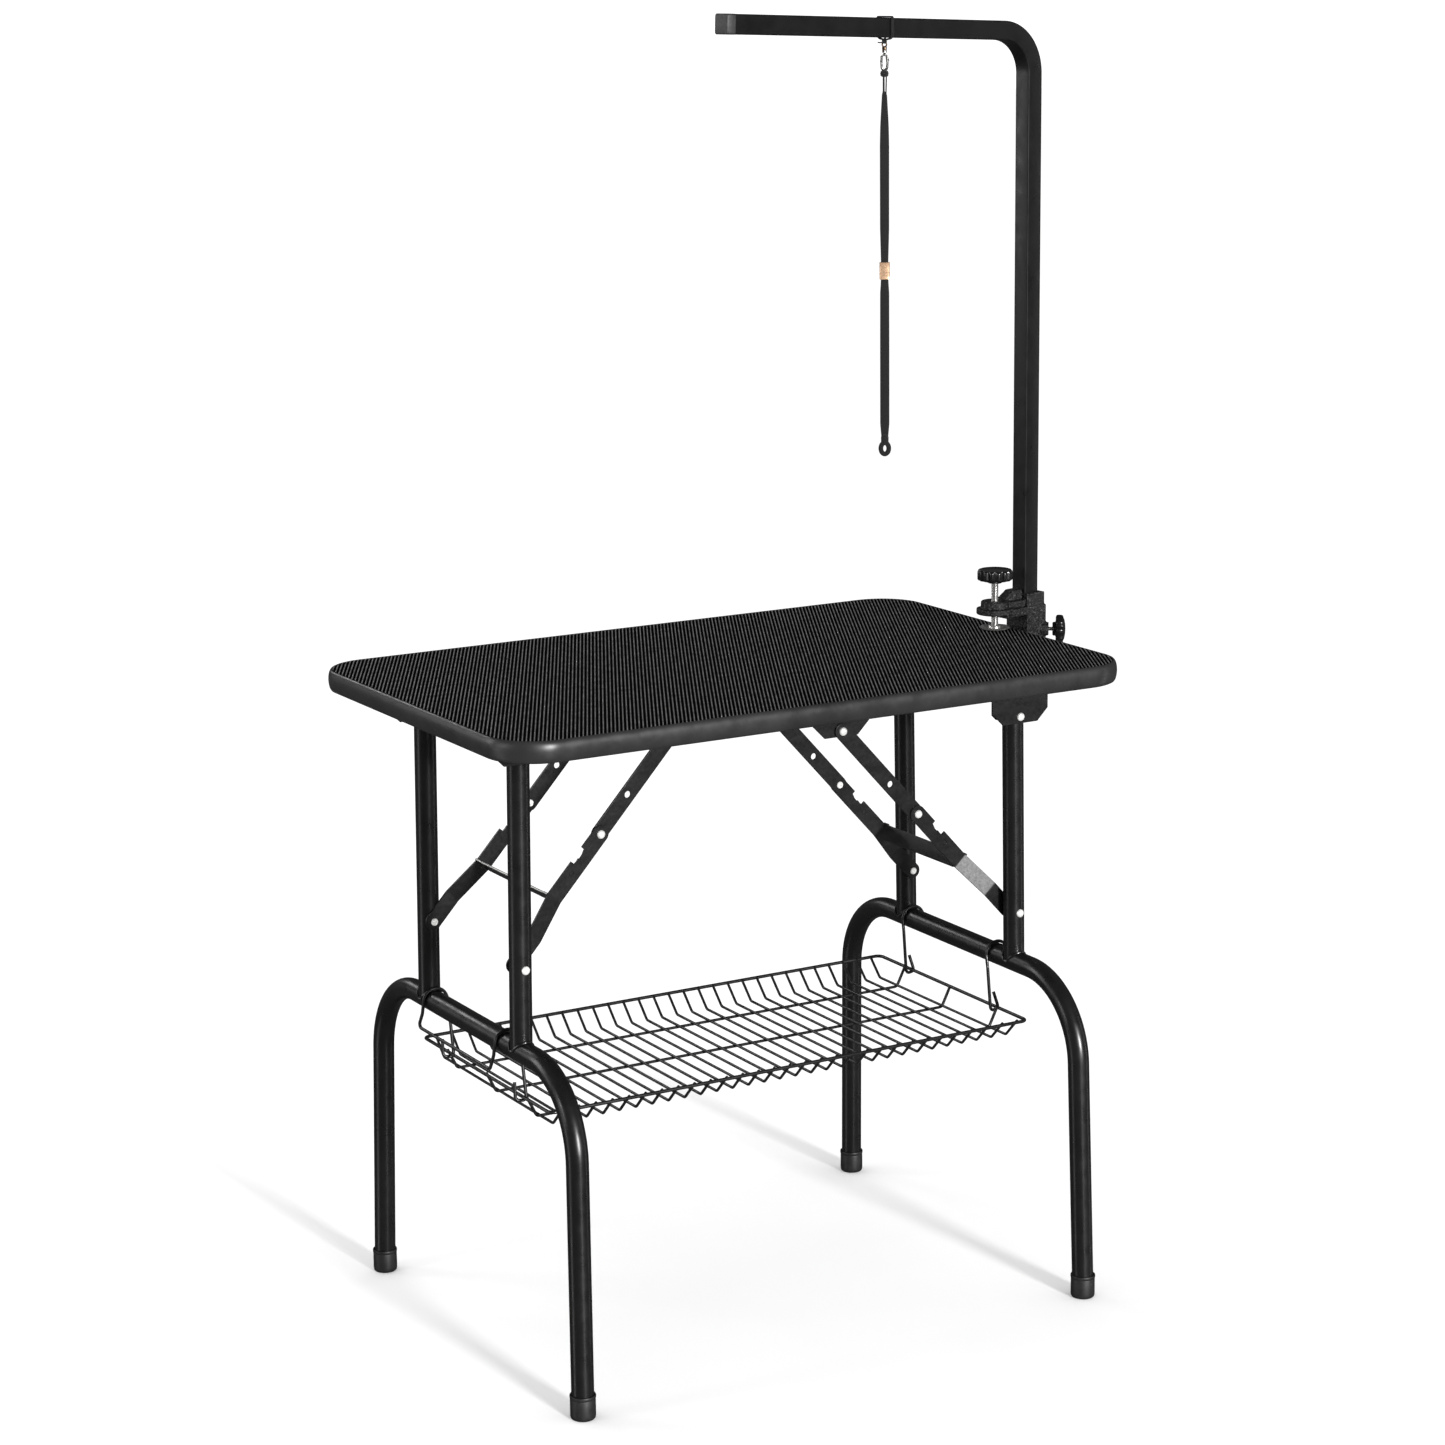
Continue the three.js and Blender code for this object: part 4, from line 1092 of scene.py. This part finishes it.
class End:
    """Where the parts of one end stand: side is 1 at the arm's end of the table and -1 at the other."""

    def __init__(self, name, side):
        self.name, self.side = name, side
        self.pivot_z = PIVOT_HEIGHT[name]
        self.drop = UNDERSIDE - self.pivot_z
        self.lean = radians(LEG_LEAN)
        self.place = turn("Z", 0 if side > 0 else 180)
        self.pivot = self.place @ move(PIVOT_X, 0, self.pivot_z)
        self.leg = self.pivot @ turn("Y", -LEG_LEAN)
        self.bow_z = -(self.pivot_z - BOW_HEIGHT) / cos(self.lean)
        foot_x = PIVOT_X + BRACE_FOOT_DROP * sin(self.lean)
        foot_z = self.pivot_z - BRACE_FOOT_DROP * cos(self.lean)
        run, fall = foot_x - BRACE_X, self.pivot_z - foot_z
        span = hypot(run, fall)
        offset = BRACE_FOOT_DROP - (PIVOT_X - BRACE_X)
        self.lower_length, self.upper_length = (span + offset) / 2, (span - offset) / 2
        slope = degrees(atan2(fall, run))
        self.brace_pivot = self.place @ move(BRACE_X, 0, self.pivot_z)
        self.upper = self.brace_pivot @ turn("Y", slope)
        self.lower = self.place @ move(foot_x, 0, foot_z) @ turn("Y", 180 + slope)


def add_bow(end):
    foot_z = -(end.pivot_z - 3.8) / cos(end.lean)
    half = [(0, BOW_CORNER_Y, end.bow_z), (0, FOOT_Y, foot_z)]
    route = rounded(mirrored(half) + half, BOW_BEND, 24)
    section, bore = circle(TUBE_RADIUS, 40), circle(TUBE_RADIUS - TUBE_WALL, 40)
    shapes = [tube(route, section, (1, 0, 0), bore=bore)]
    for sign in (-1, 1):
        shapes.append(placed(weld(sign * 7 + 31 * end.side), move(0, sign * UPRIGHT_Y, end.bow_z)))
    piece(f"{end.name}_leg_bow_tube", shapes, end.leg, "gloss_powder_coat", [f"{end.name}_leg_bow"])


def add_lower_brace(end):
    """Both lower links and their crossbar, with a blind hole punched in each face of each link, its floor
    black as painted shade.
    """
    node = f"{end.name}_lower_brace"
    arms = [lower_arm(end.lower_length, sign) for sign in (1, -1)]
    brace = piece(f"{node}_strip", [*arms, crossbar()], end.lower, "satin_strap_steel", [node])
    soften(brace, 0.35)
    apply_modifiers(brace)
    x = end.lower_length - PUNCH_FROM_ELBOW
    face = LOWER_LINK_Y + LINK_THICKNESS / 2

    def punches(spans, radius):
        return [rod((x, a, PUNCH_Z), (x, b, PUNCH_Z), radius, 20) for a, b in spans]

    dents = [
        (-face - 5, -face - 0.3), (-face + 0.3, -face + 5), (face - 5, face - 0.3),
        (face + 0.3, face + 5),
    ]
    carve(brace, punches(dents, PUNCH_RADIUS), end.lower)
    # A bright rod on the crossbar's top edge: a painted highlight.
    piece(f"{end.name}_crossbar_bare_edge", [crossbar_edge()], end.lower, "bare_edge", like=node)
    # Black discs at the bottom of the dents: painted shade inside the punched holes.
    shade_discs = punches([(face - 0.4, face + 0.4), (-face - 0.4, -face + 0.4)], PUNCH_RADIUS - 0.05)
    piece(f"{end.name}_punched_hole_floors", shade_discs, end.lower, "hole_black", like=node)
    lips = []
    for y in (-LOWER_LINK_Y - LINK_THICKNESS, LOWER_LINK_Y + LINK_THICKNESS):
        angles = [radians(40 + 12 * k) for k in range(18)]
        reach = PUNCH_RADIUS + 0.3
        arc = [(x + reach * cos(a), y, PUNCH_Z + reach * sin(a)) for a in angles]
        lips.append(tube(arc, circle(0.45, 6), (0, 1, 0)))
    piece(f"{node}_punched_lips", lips, end.lower, "satin_strap_steel", like=node)


def add_bracket(name, shape, place):
    soften(piece(name, [shape], place, "satin_strap_steel", [name.rpartition("_")[0]]), 0.5)


def add_corner(end, sign):
    """What the front or back of an end has of its own; sign is that side's direction in the end's frame."""
    label = f"{end.name}_{'front' if sign * end.side < 0 else 'back'}"
    add_bracket(f"{label}_leg_bracket_channel", leg_bracket(end.drop, sign), end.pivot)
    add_bracket(f"{label}_brace_bracket_angle", brace_bracket(end.drop, sign), end.brace_pivot)
    screws = []
    for middle, spread, y in (
        (PIVOT_X, LEG_SCREWS_X, UPRIGHT_Y), (BRACE_X, BRACE_SCREWS_X, BRACE_SCREWS_Y)
    ):
        screws += [wood_screw(middle + x, sign * y, SCREW_SEAT) for x in (-spread, spread)]
    piece(f"{label}_bracket_screws", screws, end.place, "zinc_rivet", like=f"{label}_leg_bracket")

    outer, inner = UPRIGHT_Y + TUBE_RADIUS + 3.4, UPRIGHT_Y - TUBE_RADIUS - 4.2
    add_rivet(label, "leg_pivot", outer, inner, sign, end.pivot)
    face = UPPER_LINK_Y + LINK_THICKNESS + 0.2
    add_rivet(label, "brace_pivot", face, UPPER_LINK_Y - 4, sign, end.brace_pivot)
    low = sign * UPPER_LINK_Y
    strip = [plate(link_outline(end.upper_length), low, low + sign * LINK_THICKNESS)]
    link = piece(
        f"{label}_upper_link_strip", strip, end.upper, "satin_strap_steel", [f"{label}_upper_link"]
    )
    soften(link, 0.45)
    apply_modifiers(link)
    spare = end.upper_length * SPARE_HOLE_SHARE
    carve(link, [rod((spare, low - 8, 0), (spare, low + 8, 0), SPARE_HOLE_RADIUS, 28)], end.upper)
    face = LOWER_LINK_Y + LINK_THICKNESS + 0.2
    add_rivet(label, "elbow", face, UPPER_LINK_Y - 0.2, sign, end.lower @ move(end.lower_length))
    post = placed(upright(end.bow_z, min(12, end.drop - 16)), move(0, sign * UPRIGHT_Y))
    piece(f"{label}_upright_tube", [post], end.leg, "gloss_powder_coat", [f"{label}_upright"])
    face = UPRIGHT_Y + TUBE_RADIUS + 0.3
    brace_foot = end.leg @ move(0, 0, -BRACE_FOOT_DROP)
    add_rivet(label, "brace_foot", face, LOWER_LINK_END_Y - 1, sign, brace_foot)
    floor_x = PIVOT_X + tan(end.lean) * (end.pivot_z - FOOT_HEIGHT / 2)
    stand = end.place @ move(floor_x, sign * (FOOT_Y - 0.4))
    piece(f"{label}_foot_cap", [foot()], stand, "foot_rubber", [f"{label}_foot"])


def add_end(name, side):
    end = End(name, side)
    add_bow(end)
    add_lower_brace(end)
    for sign in (-1, 1):
        add_corner(end, sign)
    hook = f"{name}_basket_hanger"
    piece(f"{hook}_wire", [hanger(side)], end.place, "coated_wire", [hook], sharp=60)


add_end("left", -1)
add_end("right", 1)

# Basket ----


def basket_wire(corners, radius, side):
    return tube(rounded(corners, 6, 5), circle(radius, 8), side)


def add_basket():
    half = [(RIM_X, RIM_Y, RIM_Z), (-RIM_X, RIM_Y, RIM_Z)]
    corners = half + mirrored(half)
    rim = tube(rounded(corners, 8, 8, closed=True), circle(RIM_WIRE, 14), closed=True)
    piece("basket_rim_wire", [rim], IN_PLACE, "coated_wire", ["basket_tray"], sharp=60)
    nub = 2.6
    cross, long_wires, spots = [], [], []
    stations = [-FLOOR_X + 2 * FLOOR_X * i / (CROSS_WIRES - 1) for i in range(CROSS_WIRES)]
    for x in stations:
        corners = [(x, -RIM_Y + 2.2 - nub, RIM_Z + nub), (x, -FLOOR_Y, FLOOR_Z)]
        corners += [(x, FLOOR_Y, FLOOR_Z), (x, RIM_Y - 1.2, RIM_Z + 0.6)]
        cross.append(basket_wire(corners, FLOOR_WIRE, (1, 0, 0)))
        spots += [weld_spot(x, sign * (RIM_Y - 1.6), RIM_Z) for sign in (-1, 1)]
    piece("basket_cross_wires", cross, IN_PLACE, "coated_wire", like="basket_tray", sharp=60)
    low = FLOOR_Z - 2.4
    for y in (-102, 0, 102):
        half = [(FLOOR_X + 1, y, low), (RIM_X - 1.8, y, RIM_Z + 1)]
        corners = [(-x, y, z) for x, y, z in reversed(half)] + half
        long_wires.append(basket_wire(corners, FLOOR_WIRE + 0.15, (0, 1, 0)))
        spots += [weld_spot(x, y, FLOOR_Z - 1.2) for x in stations]
    piece("basket_long_wires", long_wires, IN_PLACE, "coated_wire", like="basket_tray", sharp=60)
    piece("basket_weld_spots", spots, IN_PLACE, "coated_wire", like="basket_tray", sharp=80)


def weld_spot(x, y, z):
    """The small swelling where two wires cross."""
    return placed(lathe([(0, -1.5), (1.3, -1.1), (1.9, 0), (1.3, 1.1), (0, 1.5)], 8), move(x, y, z))


add_basket()

# Clamp and arm ----


def add_casting():
    """The clamp's body: blocks run together like a casting, then bored for the post and the screw."""
    jaw_top = UNDERSIDE - 0.3
    web = [(SCREW_X, -20.5), (-13, -18.5), (-13, 18.5), (SCREW_X, 20.5)]
    gusset = [(-42, 797), (-42, 801), (-26, 811.5), (-11, 811.5), (-11, 797)]
    boss = lathe([(0, 784), (22.3, 785), (22.3, 792), (17, 792), (17, 800), (16, 801), (0, 801)], 48)
    lock_axis = turn("Z", LOCK_TURN)
    lock_boss = [lock_axis @ Vector((d, 0, LOCK_HEIGHT)) for d in (14, 29.3)]
    shapes = [
        box((-13.3, -18.5, 727), (18.7, 18.5, 790.6)),
        box((-12.6, -17.2, 790), (16.8, 17.2, 806.6)),
        plate(web, 781, 791, "Z"),
        placed(boss, move(SCREW_X)),
        box((SCREW_X + 4, -13, 785), (-12, 13, 799)),
        plate(gusset, -7, 7),
        box((-48, -17, jaw_top - 13.5), (-12, 17, jaw_top)),
        rod((-48, 0, jaw_top - 13.5), (-48, 0, jaw_top), 17, 40),
        rod(*lock_boss, 8.4, 32),
    ]
    body = piece("clamp_body_casting", shapes, CLAMP, "crinkle_casting", ["clamp_body"], sharp=50)
    cast = body.modifiers.new("Cast", "REMESH")
    cast.mode = "VOXEL"
    cast.voxel_size = 0.9 * METRE
    smooth = body.modifiers.new("Smooth", "SMOOTH")
    smooth.factor = 0.5
    smooth.iterations = 4
    apply_modifiers(body)
    bore = POST_HALF + 0.3
    screw_hole = rod((SCREW_X, 0, 775), (SCREW_X, 0, 810), 4.7, 32)
    carve(body, [box((-bore, -bore, 720), (bore, bore, 820)), screw_hole], CLAMP)
    body.data.shade_smooth()
    body.data.set_sharp_from_angle(angle=radians(50))


def add_clamp_screw():
    rows = [(0, 0), (14, 0, 0.8), (17, 0.5, 1.0), (18.8, 1.9, 1.0), (19, 2.8, 1.0), (18.2, 3.1, 1.0)]
    rows += [(15, 1.7, 0.8), (9, 1.2), (7.8, 1.8), (7.4, 4.6), (6.4, 5.5), (4.9, 5.6), (4.7, 3), (0, 3)]
    pad = lathe(rows, 64, lobes=8)
    pad_place = CLAMP @ move(SCREW_X, 0, TOP_HEIGHT + 0.3)
    piece("clamp_pad_dish", [pad], pad_place, "chrome_steel", ["clamp_pad"], sharp=50)
    screw = placed(thread(4.4, 0.45, 2.0, TOP_HEIGHT + 3.6, 832, 28, 8), move(SCREW_X))
    piece("clamp_screw_thread", [screw], CLAMP, "chrome_steel", ["clamp_screw"], sharp=70)
    rows = [(0, 5.4), (4.7, 5.4), (4.7, -2.6), (8.2, -3), (9, -2.4), (11, -0.8), (18.6, 0.2, 1.04)]
    rows += [(20.4, 0.7, 1.82), (21.2, 1.8, 2.21), (21.4, 3.4, 2.34), (21.4, 10.6, 2.34)]
    rows += [(21.0, 12.2, 2.08), (20.0, 13.3, 1.17), (18.8, 13.6), (17.6, 13.1), (16.2, 12.3)]
    knob = lathe(rows + [(9, 11.7), (0, 11.5)], 15 * 12, lobes=15, sharpness=1.6)
    knob_place = CLAMP @ move(SCREW_X, 0, 826)
    piece("clamp_knob_fluted", [knob], knob_place, "knob_plastic", ["clamp_knob"], sharp=60)


def add_arm_lock():
    lock = CLAMP @ move(0, 0, LOCK_HEIGHT) @ turn("Z", LOCK_TURN) @ turn("Y", 90)
    shank = thread(2.5, 0.3, 1.0, 16.2, 40, 16, 6)
    piece("arm_lock_screw_thread", [shank], lock, "chrome_steel", ["arm_lock_screw"], sharp=70)
    rows = [(0, 40.3), (2.8, 40.3), (2.8, 33.9), (7.4, 33.9), (8.4, 34.8), (8.6, 37.2), (10, 37.8)]
    rows += [(14.6, 37.9, 1.2), (16.6, 38.7, 2.0), (17.4, 40.2, 2.4), (17.5, 42, 2.4), (17.3, 45.4, 2.4)]
    rows += [(16.2, 47, 1.8), (13.4, 47.6, 0.5), (12.2, 48.4), (6, 49.6), (0, 49.9)]
    grip = lathe(rows, 8 * 16, lobes=8, sharpness=1.5)
    piece("arm_lock_knob_lobed", [grip], lock, "knob_plastic", ["arm_lock_knob"], sharp=60)


def add_arm():
    tip = Vector((-ARM_LENGTH * cos(ARM_RISE), 0, ARM_CORNER_HEIGHT + ARM_LENGTH * sin(ARM_RISE)))
    inwards = Vector((cos(ARM_RISE), 0, -sin(ARM_RISE)))
    size = 2 * POST_HALF
    corners = [(0, 0, POST_BOTTOM), (0, 0, ARM_CORNER_HEIGHT), tip + inwards * CAP_LENGTH]
    route = rounded(corners, ARM_BEND, 24)
    section = rounded_rectangle(size, size, 1.6, 5)
    bore = rounded_rectangle(size - 2 * POST_WALL, size - 2 * POST_WALL, 0.8, 5)
    bar = tube(route, section, (1, 0, 0), bore=bore)
    piece("arm_square_tube", [bar], CLAMP, "arm_powder_coat", ["arm_tube"])
    cap_rows = [
        (0.3, -0.5), (0.3, 0.2), (1.0, 0.2), (CAP_LENGTH - 1.4, 0.2), (CAP_LENGTH - 0.5, -0.3),
        (CAP_LENGTH, -1.4),
    ]
    up = Vector((sin(ARM_RISE), 0, cos(ARM_RISE)))
    rings = []
    for out, swell in cap_rows:
        outline = rounded_rectangle(size + 2 * swell, size + 2 * swell, 2.3, 5)
        middle = tip + inwards * (CAP_LENGTH - out)
        rings.append([middle + Vector((0, a, 0)) + b * up for a, b in outline])
    piece("arm_end_cap_plug", [skinned(rings)], CLAMP, "cap_plastic", ["arm_end_cap"])


add_casting()
add_clamp_screw()
add_arm_lock()
add_arm()

# Studio ----


def aim(data, azimuth, elevation, distance, height):
    """Puts a light round the object at an azimuth and elevation, facing it."""
    light = linked(data.name, data)
    rise = radians(elevation)
    away = polar(cos(rise), radians(azimuth), sin(rise))
    light.location = Vector((0, 0, height)) + away * distance
    light.rotation_euler = away.to_track_quat("Z", "Y").to_euler()


def add_studio():
    mesh = bpy.data.meshes.new("floor")
    corners = [(FLOOR_REACH * x, FLOOR_REACH * y, 0) for x, y in ((-1, -1), (1, -1), (1, 1), (-1, 1))]
    mesh.from_pydata(corners, [], [(0, 1, 2, 3)])
    floor = linked("floor", mesh)
    floor.visible_glossy = False
    paper = Finish("floor_paper", 0.9, specular=0.0)
    paper.colours(paper.noise(3, 2), [(0.3, grey(0.89)), (0.7, grey(0.91))])
    mesh.materials.append(paper.material)

    # A white room for the eye and for soft light, but a dark one in reflections, with a few soft boxes.
    world = bpy.data.worlds.new("studio")
    bpy.context.scene.world = world
    world.use_nodes = True
    tree = world.node_tree
    path = tree.nodes.new("ShaderNodeLightPath")
    shown = tree.nodes["Background"]
    shown.inputs["Strength"].default_value = SKY_SOFT
    for ray, strength in (("Is Glossy Ray", SKY_REFLECTED), ("Is Camera Ray", SKY_SEEN)):
        other = tree.nodes.new("ShaderNodeBackground")
        other.inputs["Color"].default_value = (1, 1, 1, 1)
        other.inputs["Strength"].default_value = strength
        mix = tree.nodes.new("ShaderNodeMixShader")
        tree.links.new(path.outputs[ray], mix.inputs["Fac"])
        tree.links.new(shown.outputs[0], mix.inputs[1])
        tree.links.new(other.outputs[0], mix.inputs[2])
        shown = mix
    tree.nodes["Background"].inputs["Color"].default_value = (1, 1, 1, 1)
    tree.links.new(shown.outputs[0], tree.nodes["World Output"].inputs["Surface"])

    sun = bpy.data.lights.new("key", "SUN")
    sun.angle = radians(SUN_SPREAD)
    sun.energy = SUN_POWER
    aim(sun, SUN_AZIMUTH, SUN_HEIGHT, 5, 0.6)
    for name, azimuth, height, width, tall, power in SOFT_BOXES:
        data = bpy.data.lights.new(name, "AREA")
        data.shape = "RECTANGLE"
        data.size = width
        data.size_y = tall
        data.energy = power
        aim(data, azimuth, 0, 4, height)
    bpy.context.scene.view_settings.view_transform = "Standard"
    bpy.context.scene.view_settings.look = "None"


add_studio()
